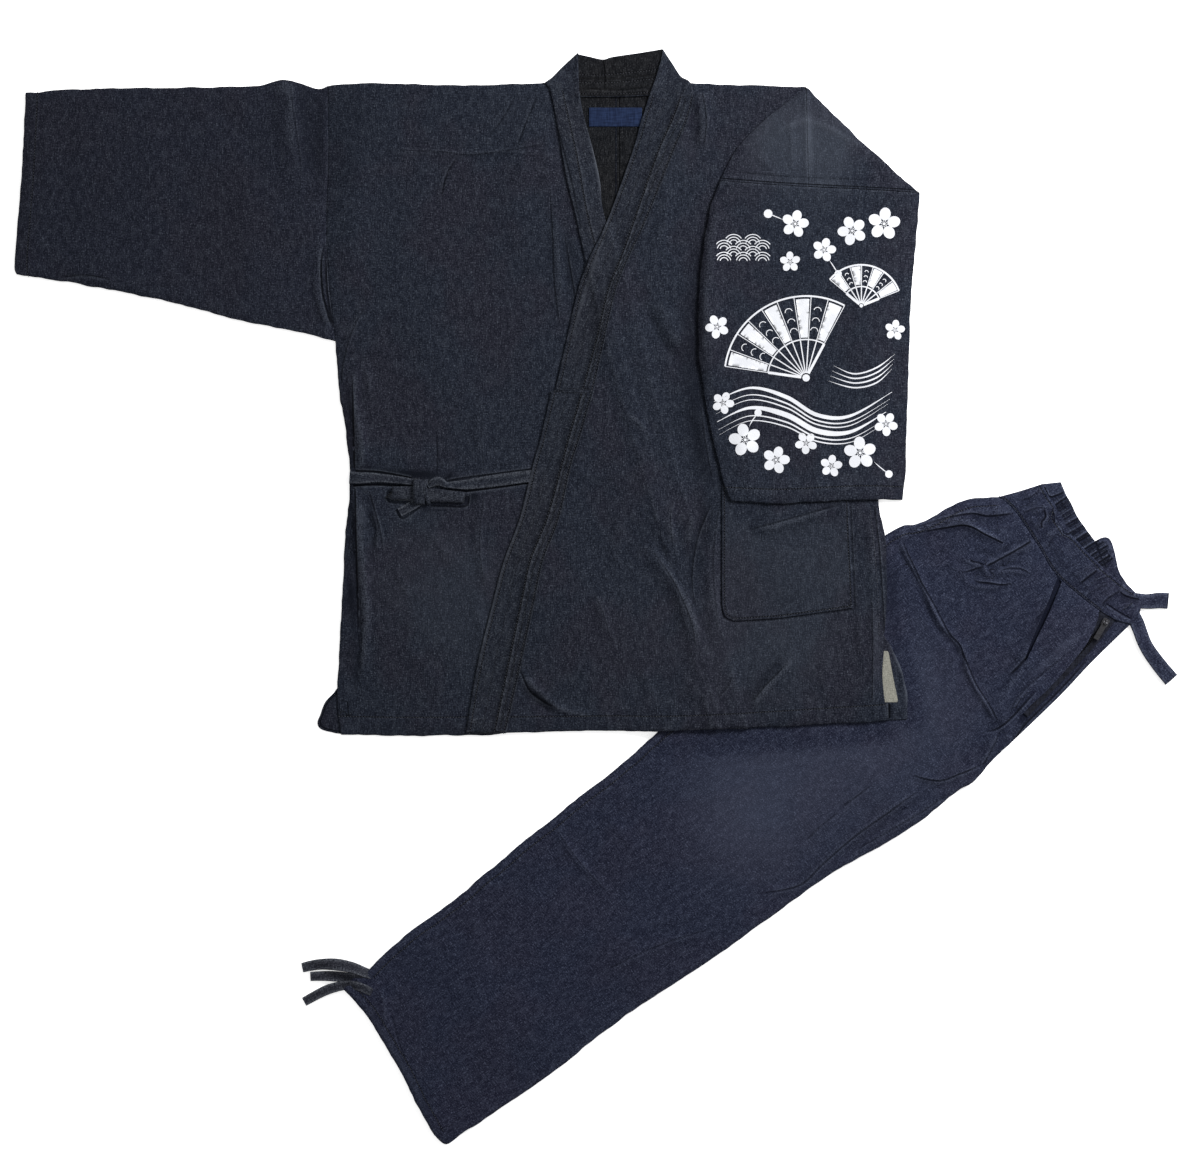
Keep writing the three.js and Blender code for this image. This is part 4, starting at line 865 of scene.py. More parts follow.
# Creases: their width, or their widths on the left and the right, their height, and at times how they fade at their
# ends, and then their line. A negative height is a trough.
CREASES = read_table("""
sleeve_left
9/16 3 0/0.7 290,70 290,120 299,215
11 -1.6 0.2/0.7 312,88 313,140 318,200
6/8 1.9 0.4/0.1 322,225 323,270 331,325
4 1.1 0.5/0.2 312,255 318,300 330,330
2.4 0.6 58,277 84,276 113,280
14 0.8 250,150 246,230 250,300
18 0.7 150,100 152,190 146,280
12 -0.5 70,110 62,190 70,262
12 -0.7 196,95 240,130 262,180
front_left
6/9 2.2 0.3/0.2 359,352 354,400 362,450 360,492
3 -1.5 348,395 353,440 352,480
6/10 2.4 0.1/0.3 356,492 362,560 366,620 360,690
3 -1.7 0.2 350,500 357,590 359,640 352,700
3 0.9 366,303 350,330 343,352
4 1.2 364,362 370,385 366,400
3/5 1.7 0.2/0.3 371,506 379,530 376,556
2.6 -1.2 367,506 373,530 372,552
18 1.4 345,110 352,200 349,300
20 1.4 520,100 524,170 503,250
2.8 0.7 0.1 383,152 440,153 505,151 560,156
6 0.7 455,150 446,180 441,205
5 1.1 555,200 558,260 562,330
5 -0.9 568,225 572,280 575,350
8 1 540,120 548,165 545,215
6 0.9 480,395 478,440 484,468
5 0.8 482,492 478,540 486,590
5 0.7 412,600 398,575 392,560
7 0.8 470,590 482,630 476,680
6 0.7 420,520 452,560 468,580
8 0.6 400,640 425,668 440,700
16 0.8 395,320 440,360 470,420
front_right
8/10 2.6 802,648 776,676 744,714
6 -1.8 792,648 766,675 735,712
4/6 2.2 0.2/0.4 520,672 540,692 560,708 600,716
4 -1.4 516,684 536,702 560,715
8 1.8 0.1/0.4 700,88 704,120 701,156
5 -1.2 690,95 694,125 691,160
12/8 1.7 745,534 795,520 842,505
7 1.2 0.1 872,512 874,600 873,715
6/12 2.2 640,535 668,574 690,612 702,655
5 -1.7 652,534 678,572 700,612 713,655
4/7 1.5 672,498 671,520 675,545
6 1.3 697,510 690,530 687,548
4/7 1.3 622,412 642,424 655,450
6 1 592,592 604,618 610,642
8/12 1.7 655,290 672,330 690,352
6 -1.2 645,300 662,340 684,368
9 1.4 690,395 706,440 702,480
7 1.1 717,500 712,560 717,640
6 -1 705,500 698,560 704,620
6 0.9 640,660 650,690 646,716
6 0.8 862,560 860,620 866,700
7 0.7 830,640 824,670 830,708
4 0.6 560,470 600,476 640,472 660,480
6 0.8 615,500 620,540 612,575
8 1 668,180 664,220 656,262
sleeve_right
16 2.2 0.2/0.4 716,190 708,250 706,330 714,420
3 1 0/0.6 806,84 807,130 808,230
3 0.7 790,110 792,150 792,186
3 0.7 0.1 770,138 800,121 830,128 866,150
4 0.6 752,152 768,165 776,182
2.5 0.5 0.1 733,170 800,176 870,178
16 0.8 860,200 864,300 858,420
12 1.1 735,400 745,450 750,498
10 0.7 820,440 816,470 820,500
leg
3.5 1.7 0.05/0.1 900,540 923,586 939,621 962,648 971,678 998,722
3.2 -1.3 0.05/0.1 896,544 919,590 935,625 957,653 966,682 992,724
4/7 2.4 0.1/0.3 889,536 933,523 964,521 979,530 1014,546
4/5 1.4 0.2 933,517 975,512 1012,508
4/5 2 0/0.4 1031,544 1010,555 987,567 979,574
3 -1.4 0/0.4 1028,540 1008,549 988,560
3/5 1.4 956,557 980,565 995,583
4/3 1.3 991,574 1012,571 1030,574
3/4 1.3 962,582 984,587 1008,584
3 -0.9 968,548 990,556 1008,566
5 0.8 940,560 960,570 972,588
7/4 2 0.1/0.3 1052,590 1036,628 1012,674
5 1.2 0.1 1098,617 1052,662 1012,704 1000,728
6/8 1.8 1040,650 1020,672 1003,700 985,728
5 -1.2 1030,650 1010,674 994,700
3/4 2 0.2 912,774 940,780 962,772 982,764
6/3 2.1 0.15/0.25 920,786 890,808 852,836 822,862 798,884 752,893
4 -1.6 0.2/0.3 925,793 895,816 858,845 826,870
4 1.2 950,792 920,812 886,832 850,852
3 1 870,785 856,796 842,806
3 0.9 838,812 820,826 806,840
7/6 1.3 714,927 660,944 604,970
8 0.8 700,905 650,925 590,960
5 1.1 554,827 576,858 608,894
8 0.8 600,800 618,830 650,860
12 0.8 470,905 480,960 470,1030
14 0.9 540,980 500,1040 478,1090
3/4 0.9 378,980 386,1010 384,1036
16 0.6 660,790 720,850 800,800
14 0.9 930,640 900,690 880,740
5 1.5 1000,730 992,748 982,766
""")


# Sharp folds, painted as a dark line of painted shade with a painted shadow on one side and a painted highlight on the
# other: how deep they are, at times how they fade, and their line, with the shaded side on its left
FOLDS = read_table("""
sleeve_left
0.9 0.4/0.1 325,240 321,262 322,290 326,308 332,328
0.9 0.1/0.4 333,328 329,305 326.5,285 325,245
0.5 0.3 58,277.5 70,276 88,275.5 112,280
0.3 0.5/0.3 297,205 300,165 293,110 290,80
front_left
0.9 0.05/0.4 354,470 353.5,440 352.5,400 351,372
0.85 0.35/0.05 358,640 357.5,600 356,545 354.5,487
0.45 0.1/0.4 340.5,384 343,360 352,330 366,303
0.55 0.4/0.2 382,552 380,532 374,510 368,490
0.3 0.1/0.3 546,144 510,150 470,155 437,151.5 383,150
1 0.05 352,485.5 376,484.8 396,485.8 414,488.5
0.8 0.05 412,478.5 396,475 376,471.8 353,471
1 0.05 447,491.5 464,491.5 500,487 536,481.8
0.7 0.05 536,468.5 500,473.3 464,478 446,481.5
0.5 0.1/0.05 387.5,490 388.5,501.5 405,503.5 418,505
0.6 0.05/0.1 430,505.8 446,506.3 466,506 468.5,493
0.55 0.05 396,509 401.5,519 413,512 420,507
0.45 457,157 447,173 441,196
0.32 0.4/0.3 517,92 503,117 487,137
0.4 0.4/0.3 537,95 524,127 516,150
0.42 0.3 560,330 554,285 552,235 549,180
0.5 0.3/0.4 579,312 573,287 564,233
0.25 436,432 437,455 436,474
0.22 484,470 481,440 483,400
0.25 484,590 479,545 483,494
0.35 0.3/0.2 346,560 352,520 349.5,490
front_right
0.55 0.3/0.4 750,703 765,685 792,658
0.65 0.3 519,668 529,690 541,700 557,709
0.5 0.4/0.1 703,150 706,120 702,92
0.55 0.05 884,636 882,600 878.5,550 874.5,506
0.4 0.05/0.3 871,704 871.5,640 870,588
0.38 0.4 696,655 690,620 672,580 650,548
0.5 0.4/0.2 697,612 692,590 693,560 700,530 712,502
0.35 0.4/0.1 718,640 713,560 719,505
0.3 672,545 670,520 673,500
0.35 718,697 726,688 732,676
0.25 610,640 604,617 593,592
0.12 0.02 721,500 721,540 721,580 721.3,604 724.5,617 735,622.3
0.2 0.02 735,622.3 780,619.3 820,614.3 853.5,609.5
0.3 0.02 854.3,609 853,570 850.6,505
back_right
0.9 0.05 888.5,703 889,719
sleeve_right
0.18 0.1 733,172 790,177 868,180
0.3 0.2/0.5 712,480 703,430 699,380
pocket
0.45 0.3/0.2 744,531 790,519 842,504
collar_left
0.35 0.2/0.3 556,123 570,178 582,235
collar_right_upper
collar_right_lower
collar_back
0.6 0.2/0.05 604,92 605,75 603,60
0.4 588,88 616,90 648,87
leg_front
0.62 0.06/0.05 902,541 906.4,552 914,568 922,585 932,602 941,619 949,634 959,645 963,656 969,669 976,685 \
987,702 997,721
1 0.04/0.6 1003.6,544 985,535 966,526 943,528.6 900,536
0.85 0.1/0.6 1015,513.6 1000,515.5 986,516.5 970,514 941,519.5 900,533
1 0.02/0.1 1030.5,541.5 1013.6,551.4 999.3,559.3 985,567
0.7 0.02/0.4 984,566.4 970.7,570.7 959,573.6
0.75 0.2/0.05 968.5,558 970.7,561.5 978,563 984,565.5
0.6 994,578.5 992,574 988,570
0.65 0.3 1031,575.5 1021,569.3 1009,568.6 999,571
0.95 0.3/0.2 1013,583.6 1002,585.2 990,583.6 974,582
0.8 0.02/0.3 1027,656 1018,666.5 1008.5,676
0.5 0.2/0.4 1057,588 1047,606 1033,622
0.8 0.3 985,733 997,729 1010,719 1025,702.5 1036,690
0.45 0.1/0.5 1008,712 1022.5,691 1045,671 1072,650
0.7 0.3 912,776 938,781 960,774 982,765
0.6 0.3/0.2 752,895 798,886 823,864 853,838 892,810 922,788
0.35 850,853 886,833 920,813 950,793
0.45 842,807 856,797 870,786
0.4 806,841 820,827 838,813
0.28 604,971 660,945 714,928
0.25 608,894 576,858 554,827
0.25 392,1015 398,1040 406,1060
0.5 1000,730 992,748 981,768
waistband_front
0.9 0.05/0.1 1096.7,570.6 1088,577 1080,583.5
0.55 0.05/0.1 1119,591.7 1108,598.3 1101,606
0.7 0.05/0.1 1105.6,603.9 1118,612 1132,619.5
0.9 0.05/0.2 1142,600 1127,597 1118,591.5
0.9 0.1 1042,529 1040.5,523 1045,517 1043,509
0.9 0.1 1053,524 1054,517 1051,511
0.9 0.1 1058,523 1062,528 1064,534 1070,534
0.35 1060,534 1052,538 1047,549
0.45 1040,489 1031,497 1019,501
0.5 1045,508 1034,509 1022,514
0.8 0.1 1003.5,503 1009,510.5 1015,513.5
0.45 1112,576 1104,578 1095,582
0.3 1107,585 1097,589 1086,596
waistband_back
0.8 0.05 1106,568 1099,553 1095,541
0.9 0.1/0.05 1064,492 1058,495 1049,497 1044,487
fly_underlap
0.8 0.05/0.3 1014,741 1024,726 1038,712 1054,696 1072,677 1092,654
""")


def fold_along(sections, column, depth, ends=SHORT_ENDS, shift=0.0):
    """A fold along a line of the collar."""
    return [(row[column] + shift, row[0]) for row in sections[::-1]], (depth,), ends


FOLDS["collar_left"].append(fold_along(UNDER, STITCH, 0.40))
FOLDS["collar_right_upper"] += [fold_along(OVER_UPPER, STITCH, 0.50, (0.05, 0.05)),
                                fold_along(OVER_UPPER, SEAM, 0.30, (0.05, 0.05), -1.5)]
FOLDS["collar_right_lower"] += [fold_along(OVER_LOWER, STITCH, 0.60, (0.05, 0.02)),
                                fold_along(OVER_LOWER, SEAM, 0.50, (0.05, 0.02), -1.5),
                                ([(0.45 * row[STITCH] + 0.55 * row[FREE], row[0]) for row in OVER_LOWER[5:1:-1]],
                                 (0.20,))]

# Broad tones painted on the cloth, darker where positive and paler where negative. Most are painted shade, in hollows
# and beside raised parts such as the tie, the cuff and the collar, and painted light, along the edges of folds and
# where the light falls more strongly; a few pale rows along hems are rubbed cloth. A row is a crease's, with the tone
# in place of the height.
SHADES = read_table("""
sleeve_left
15 0.42 0/0.4 300,76 305,140 309,200
9 0.36 0/0.4 325,86 321,140 324,230
150 0.16 0/0.1 40,190 160,195 280,205
5 0.4 322,300 331,328
front_left
22 0.3 0/0.4 352,100 350,160 346,220
7 0.45 0.2 352,570 356,630 354,700
6 0.5 0.4/0 366,455 368,470
7 0.42 0.1/0.4 372,490 376,515 384,545
5 0.35 0.1/0.3 358,475 400,474 452,473
6 0.6 452,477 447,473
8 0.75 0/0.3 466,499 480,494
6 0.5 405,507 440,509 470,506
7 0.55 0.1/0.2 352,471 396,473 450,478
5 0.45 440,480 452,478 466,476
6 0.5 0.3/0 346,380 350,430 352,468
5.5 0.55 0/0.3 350,490 351,560 347,640
7 0.45 0.4/0.2 563,200 570,260 582,320
26 -0.1 470,120 530,110 548,150
120 -0.2 400,660 450,600 500,520
6 0.22 0.1 350,728 430,729 560,727
5 -0.25 362,500 363,530
5 -0.2 358,420 360,460
front_right
14 0.42 0/0.4 704,505 697,540 694,600
15 0.48 0.2/0.1 712,200 700,260 692,340 700,440 716,500
7 0.55 527,688 545,702 558,708
9 0.32 763,690 785,664
34 -0.14 640,170 676,160 690,120
20 -0.1 720,120 770,95 800,90
90 -0.1 560,600 700,640 860,660
90 -0.14 760,540 800,640 850,690
4 0.55 0.1 884,510 888,560 886,632
34 0.14 640,300 668,380 672,470
5 0.2 0.1 560,728 700,727 860,720
5 -0.22 876,600 877,700
pocket
12 0.36 0.05 733,506 790,508 848,502
9 0.3 748,530 776,518
120 -0.2 0 730,560 850,575
back_right
2.2 -0.8 885,637 896,656 904,680 907.5,716
4 0.3 900,668 902,690 902,700
collar_left
2.2 -0.6 0.05/0.1 579.5,54 586,110 607,216
12 0.25 560,70 566,90 575,120
collar_right_upper
2.2 -0.4 650,97 642,121 633,152 609,218 582,303 556,391
12 0.25 668,66 676,86 682,100
collar_right_lower
2.2 -0.45 552,391 542,436 533,468 521,517 505,560 495,597 478,667 467,733
sleeve_right
12 0.3 0.2/0.3 703,230 701,330 712,440
70 -0.34 720,120 800,140 880,172
5 -0.18 806,96 808,130 810,184
3 -0.14 770,138 800,122 828,128 862,149
3 -0.1 733,178 790,182 868,186
10 0.3 712,178 722,160 742,140
22 -0.06 740,470 800,482 880,476
leg_front
4.5 -0.25 352,993 372,1018 400,1062 428,1112 440,1134
130 -0.3 640,860 860,720 980,600
40 0.08 940,640 1000,620 1040,600
5 -0.25 1090,618 1060,648 1016,690
12 0.55 0.2/0.1 893,545 893,620 908,700 914,735
12 0.45 0.1 640,748 760,740 905,730
12 0.3 1005,716 990,740 965,772
5 0.5 1052,590 1038,622 1022,655
5 0.6 970,512 984,515
6 0.5 1002,547 1010,552
60 -0.06 820,800 700,860 560,960
fly_underlap
9 0.75 0/0.1 1108,616 1078,656 1036,700 1014,728
waistband_back
8 0.4 1107,560 1116,575 1128,590
waistband_front
5 0.45 1046,506 1050,520 1060,532
4 0.6 1128,597 1140,600
""")


# Ribbons, for the ties. The section's places are shares of the width and the thickness, with how rubbed each is.

TAPE_SECTION = ((-0.5, 0, 0), (-0.485, 0.36, 0.3), (-0.40, 0.5, 0.5), (-0.2, 0.5, 0.1), (0, 0.5, 0), (0.2, 0.5, 0.1),
                (0.40, 0.5, 0.5), (0.485, 0.36, 0.3), (0.5, 0, 0), (0.485, -0.36, 0), (0.25, -0.5, 0),
                (-0.25, -0.5, 0), (-0.485, -0.36, 0))


def ribbon(cloth, path, widths, thick, wear, tilt):
    """A flat tape along a path of points in space, with rounded edges and closed ends. Gives its length."""
    path = spline(path)
    n = len(path)
    share = np.linspace(0, 1, n)
    width, tilts = (np.interp(share, np.linspace(0, 1, len(v)), v) for v in (widths, tilt))
    heading = headings(path)[0]
    side = np.cross([[0.0, 0.0, 1.0]], heading)
    for k in range(n):
        last = side[k - 1] if k else np.array([0.0, 1.0, 0.0])
        if np.linalg.norm(side[k]) < 0.25:
            side[k] = last - heading[k] * (last @ heading[k])
        side[k] /= np.linalg.norm(side[k])
        if k and side[k] @ last < 0:
            side[k] *= -1
    normal = np.cross(heading, side)
    c, s = np.cos(tilts)[:, None], np.sin(tilts)[:, None]
    side, normal = side * c + normal * s, normal * c - side * s
    arc = np.concatenate([[0], np.cumsum(np.linalg.norm(np.diff(path, axis=0), axis=1))])
    rows = []
    for u, v, rub in TAPE_SECTION:
        points = path + side * (u * width)[:, None] + normal * (v * thick)
        flat = np.stack([u * width + path[0, 0], arc + path[0, 1]], 1)
        rows.append(cloth.add(points, [], flat=flat, wear=wear + 2.4 * rub))
    for a, b in zip(rows, [*rows[1:], rows[0]]):
        cloth.faces.extend((a + i, b + i, b + i + 1, a + i + 1) for i in range(n - 1))
    cloth.faces.append(tuple(rows))
    cloth.faces.append(tuple(row + n - 1 for row in reversed(rows)))
    return arc[-1]


def add_ribbon(name, material, parts):
    cloth = Cloth()
    area, longest = 0.0, 0.0
    for part in parts:
        length = ribbon(cloth, **part)
        area += length * float(np.mean(part["widths"]))
        longest += length
    piece = cloth.build("cloth_" + name, material)
    finish_piece(piece, [name])


def raised_path(text, sheet, lift):
    """Points over a sheet: a place has a column, a row and, in most, a height over the sheet's top and the lift."""
    places = read_places(text)
    p = at([place[:2] for place in places])
    z = sampled(sheets[sheet]["top"], p) * sampled(sheets[sheet]["mask"].astype(float), p)
    return np.column_stack([p, z + lift + np.array([(*place, 0.0)[2] for place in places])])


def part_of(sheet, lift, path, widths, thick, wear, tilt=(0.0, 0.0)):
    """What ribbon needs, for a band over a sheet."""
    return {"path": raised_path(path, sheet, lift), "widths": widths, "thick": thick, "wear": wear, "tilt": tilt}


# Trousers, folded in half with one leg on the other

LEG_RING = outline(TROUSERS["side"], TROUSERS["band_top"], TROUSERS["waist_back"], TROUSERS["elastic"],
                   TROUSERS["waist_peak"], TROUSERS["tip"], TROUSERS["rise"], TROUSERS["inseam"],
                   TROUSERS["corner"], TROUSERS["hem"], TROUSERS["hem_tip"])
# Name, inset from the leg's outline, and how far the edge sways
LEG_LAYERS = (("leg_low", 2.2, 0.9), ("leg_middle", 0.9, 0.5), ("leg_high", 2.8, 1.0))


def smoothed(ring):
    """The ring's values, each evened out with its neighbours."""
    for _ in range(4):
        ring = (np.roll(ring, 1, 0) + 2 * ring + np.roll(ring, -1, 0)) / 4
    return ring


def add_leg_layers():
    """The layers that the fold hides: flat sheets, each a little inside the leg's outline, so that they show."""
    for k, (name, inset, sway) in enumerate(LEG_LAYERS):
        arc = np.arange(len(LEG_RING))
        wave = sway * (np.sin(arc * 0.021 + k) + 0.6 * np.sin(arc * 0.053 + 2 * k))
        ring = LEG_RING + smoothed(inward(LEG_RING)) * (inset + wave)[:, None]
        bottom, top = (np.full((NY, NX), z) for z in (k * LAYER + (0.05 if k else 0.0), (k + 1) * LAYER - 0.25))
        sheets[name] = {"ring": ring, "mask": mask_of(ring), "bottom": bottom, "top": top}
        cloth = Cloth(TROUSER_ANGLE)
        add_shell(cloth, ring, top, bottom, 16.0, under_spacing=26.0)
        piece = cloth.build("cloth_" + name, TROUSER)
        finish_piece(piece, ["leg_layers"])
        declare_sheet(ring, area_of(ring))


GATHERS = {"count": 17, "from": (1061, 499), "to": (1102, 562), "width": 30}


def gather_folds():
    """A sharp fold in each hollow between two ribs, as rows of FOLDS."""
    a, b = np.array(GATHERS["from"], float), np.array(GATHERS["to"], float)
    across = np.array([-(b - a)[1], (b - a)[0]]) / np.linalg.norm(b - a)
    rng = np.random.default_rng(70)
    folds = []
    for k in range(GATHERS["count"] + 1):
        start, end, bend = rng.uniform(-0.9, 0.9, 3)
        middle = a + (b - a) * (k + 0.5 + 0.3 * start) / GATHERS["count"]
        reach = rng.uniform(9, 14)
        line = [middle - across * reach + [end, 0.6 * bend], middle + [0.0, bend * 0.6],
                middle + across * reach + [bend, end]]
        folds.append((line, (rng.uniform(0.65, 1.0),), (0.1, 0.1)))
    return folds


def gathered_form():
    """Uneven ribs across the back waistband, where its elastic draws it in, and four rows of stitching along it."""
    a, b = at([GATHERS["from"], GATHERS["to"]])
    heading = (b - a) / np.linalg.norm(b - a)
    length = np.linalg.norm(b - a)
    along = (GRID_X - a[0]) * heading[0] + (GRID_Y - a[1]) * heading[1]
    across = -(GRID_X - a[0]) * heading[1] + (GRID_Y - a[1]) * heading[0]
    drift = 0.35 * noise(71, 9) + 0.012 * across
    phase = along / length * GATHERS["count"] + drift
    swell = 0.75 + 0.25 * noise(72, 12)
    rib = (0.5 + 0.5 * np.cos(2 * np.pi * phase)) ** 0.8
    rows = 0.82 + 0.18 * np.cos(2 * np.pi * across / 7.5)
    near = np.clip(1.2 - np.abs(across) / GATHERS["width"], 0, 1)
    near = near * np.clip(1 - (np.abs(along - length / 2) - length / 2) / 4, 0, 1)
    return 2.2 * rib * swell * rows * near


def add_trouser_sheet(name, ring, spacing, **more):
    add_sheet(name, ring, TROUSER, "trouser_denim", spacing, TROUSER_ANGLE, **more)


def add_trousers():
    """Everything of the trousers but the ties and the zip's teeth. Gives the stitched lines and their sheets."""
    add_leg_layers()
    band = outline(TROUSERS["waist_back"], TROUSERS["elastic"], TROUSERS["waist_peak"],
                   straight("1135,592 1100,602 1066,566 1030,520 1042,484"))
    FOLDS["waistband_back"] += gather_folds()
    add_trouser_sheet("waistband_back", band, 1.2, held="gathered", on=["leg_high"], edge=2.0,
                      form=gathered_form() + 0.2 * noise(74, 5))

    underlap = outline(TROUSERS["rise"], straight("1010,744 996,716 1086,606 1131,624"))
    add_trouser_sheet("fly_underlap", underlap, 3.0, on=["leg_high"], form=0.5 * crumple(81))
    zip_line = curve("1112,612 1092,638 1062,670 1022,712")
    tape = outline(beside(zip_line, 8.5), beside(zip_line, -11.5)[::-1])
    add_sheet("zip_tape", tape, SHADED_ZIP_CLOTH, "zip_cloth", spacing=3.0, on=["leg_high", "fly_underlap"],
              wall=TAPE_WALL)
    slash_line = curve("1062,576 1046,609 1022,662")
    facing = outline(beside(slash_line, 20), beside(slash_line, -15)[::-1])
    # The facing inside the slash pocket is darkened all over: painted shade.
    add_trouser_sheet("pocket_facing", facing, 4.0, on=["leg_high"], wall=TAPE_WALL, values={"shade": 0.8})

    # The upper leg is cut open along the slash pocket, between two lips
    seam = curve(*WAIST_SEAM)
    left_lip = at([(1057.0, 578.5), (1044.5, 609), (1032.5, 637), (1024, 660)])
    right_lip = at([(1025.5, 660.5), (1036.5, 638), (1049.5, 610.5), (1061.5, 581.5)])
    cut_at = np.argmin(np.hypot(*(seam - at((1058, 577))[0]).T))
    leg_ring = outline(TROUSERS["side"], straight("998,497 1001.5,499"), seam[:cut_at - 1],
                       spline(left_lip), spline(right_lip), seam[cut_at + 2:], TROUSERS["fly"],
                       TROUSERS["inseam"], TROUSERS["corner"], TROUSERS["hem"], TROUSERS["hem_tip"])
    leg_lines = [beside(TROUSERS["side"], -10.0), beside(TROUSERS["hem"], -12.0)]
    along = turned(noise(91, 60, 14), math.radians(-37))
    form = RELIEF * creases(CREASES["leg"]) + crumple(93, 0.42, 0.13, 0.20) + 0.35 * along
    side_ridge = towards_line(GRID_X, GRID_Y, leg_lines[0][::4])[1]
    form += 0.55 * np.clip(-side_ridge / 2.0 + 0.5, 0, 1) * (np.abs(side_ridge) < 14)
    add_trouser_sheet("leg_front", leg_ring, 2.55, held="folded", lines=leg_lines, loft=0.9, form=form, edge=9.0,
                      on=["leg_high", "fly_underlap", "zip_tape", "pocket_facing"])

    front_band = outline(straight("998.5,496.5"), moved(seam, 0.3, 0.3),
                         straight("1115,620 1131,624 1140,613 1143,601"),
                         TROUSERS["band_edge"][::-1], TROUSERS["band_top"][::-1][:-1])
    ruffle = creases(read_rows("""
        3 1.5 1046,500 1040,510 1030,512
        3 1.3 1050,516 1042,522 1036,530
        4 1 1044,488 1036,494 1022,498
        3.5 1.2 1060,524 1052,532 1044,536
        4 0.8 1074,540 1064,548 1056,552
        3.5 0.8 1092,560 1082,570 1070,576
        4 0.9 1120,598 1112,606 1104,612
        7 0.7 1020,505 1030,520 1042,538
    """))
    band_lines = [beside(seam, 2.4), beside(TROUSERS["band_edge"], -4.0)]
    add_trouser_sheet("waistband_front", front_band, 2.0, lines=band_lines, loft=0.6, edge=5.0,
                      form=ruffle + 0.3 * noise(97, 10) + 0.12 * noise(98, 5),
                      on=["leg_high", "waistband_back", "fly_underlap", "zip_tape"])
    return [(line, "leg_front") for line in leg_lines] + [(line, "waistband_front") for line in band_lines]


def add_trouser_ties():
    """The two ends of the waist tie, and the three of the hem ties."""
    waist, hem = (TROUSER, "leg_high", "cloth_fly_underlap", 1.5, 0.15), (TIE, "leg_middle", "cloth_leg_high", 1.9, 0.1)
    for name, (material, sheet, under, thick, wear), lift, path, widths, tilt in (
            ("waist_tie_upper", waist, 1.6,
             "1122,600,-1.6 1134,600.5,-1 1148,601.5,0.5 1160,600.5,0.8 1169,601,0.5",
             [19, 18, 17, 18, 18.5], [0.0, 0.08, -0.06, 0.05]),
            ("waist_tie_lower", waist, 2.6,
             "1126,607,-0.2 1137,622,-0.4 1146,645,0.3 1158,663,0.6 1172,680,0.3",
             [18, 17, 16, 17, 18], [0.1, -0.12, 0.1, -0.05]),
            ("hem_tie_upper", hem, 2.2,
             "378,977,0 366,973,2.2 352,967.5,4 334,964.5,3 317,965,1.2 302,968,0.6",
             [9.6, 12.5, 14.0, 13.0, 11.0], [0.0, 0.5, 0.35, -0.2, 0.1]),
            ("hem_tie_middle", hem, 1.0,
             "377,983,0 362,979,1 345,977.5,1.6 326,976.5,0.8 310,977,0.4",
             [9.2, 11.5, 12.0, 10.5], [0.3, -0.35, 0.25, 0.0]),
            ("hem_tie_lower", hem, 3.4,
             "372,992,0 358,986,1.2 345,985.5,1.2 326,990.5,0.6 304,1002,0.4",
             [9.4, 11.0, 11.5, 10.5], [0.0, -0.3, 0.2, 0.0])):
        add_ribbon(name, material, [part_of(sheet, lift, path, widths, thick, wear, tilt)])


# Zip teeth, along the tape below the slider

def add_zip_teeth():
    """Two rows of small blocks, each narrower at its top, set in turn."""
    line = resample(spline(at([(1103.5, 624), (1092, 638), (1062, 670), (1026, 708)]), 1.0), 2.2)
    heading, side = headings(line)
    z = sampled(sheets["zip_tape"]["top"], line)
    points, faces = [], []
    for k in range(len(line)):
        for sign in (-1, 1):
            middle = line[k] + side[k] * sign * 1.1 + heading[k] * 0.55 * sign
            first = len(points)
            for dz, grow in ((-0.1, 1.0), (0.75, 1.0), (1.15, 0.6)):
                for u, v in ((-1, -1), (1, -1), (1, 1), (-1, 1)):
                    points.append([*(middle + heading[k] * u * 0.5 * grow + side[k] * v * 1.35 * grow), z[k] + dz])
            for level in (0, 4):
                for m in range(4):
                    a, b = first + level + m, first + level + (m + 1) % 4
                    faces.append((a, b, b + 4, a + 4))
            faces += [tuple(range(first + 8, first + 12)), tuple(range(first + 3, first - 1, -1))]
    mesh = new_mesh("zip_teeth", points, faces, smooth=False)
    finish_piece(new_piece("zip_teeth", mesh, SHADED_TEETH), [])


def add_stitches(name, rows):
    """Topstitching: each stitch is a small rounded grain of thread that lies in its seam's groove."""
    points, faces = [], []
    pitch, half, thick = 3.3, 1.25, 0.30
    for line, sheet in rows:
        line = resample(line, pitch)
        heading, side = headings(line)
        ends = [line - heading * half, line + heading * half]
        z0, z1 = (sampled(sheets[sheet]["top"], end) for end in ends)
        for k in range(len(line)):
            first = len(points)
            base = (z0[k] + z1[k]) / 2
            points += [[*ends[0][k], z0[k] - 0.12], [*ends[1][k], z1[k] - 0.12]]
            for share in (-0.45, 0.45):
                centre = line[k] + heading[k] * half * share
                for u, v in ((thick, 0.0), (0.0, 0.42), (-thick, 0.0), (0.0, -0.2)):
                    points.append([*(centre + side[k] * u), base + v])
            for m in range(4):
                p, q = first + 2 + m, first + 2 + (m + 1) % 4
                faces += [(first, q, p), (first + 1, p + 4, q + 4), (p, q, q + 4, p + 4)]
    finish_piece(new_piece(name, new_mesh(name, points, faces), THREAD), [])


# Jacket

UNDER_TROUSERS = ["leg_low", "leg_middle", "leg_high", "leg_front"]
BACKS = ["back_left", "back_right"]
HEM_LEFT_STITCH = curve("339,716.5 401,717.5 475,717 516,714.5 567,712.5 616,712.5")
HEM_RIGHT_STITCH = curve("507,717 567,716.5 616,716 657,716.5 718,714.5 780,711 846,707 886,704.5")


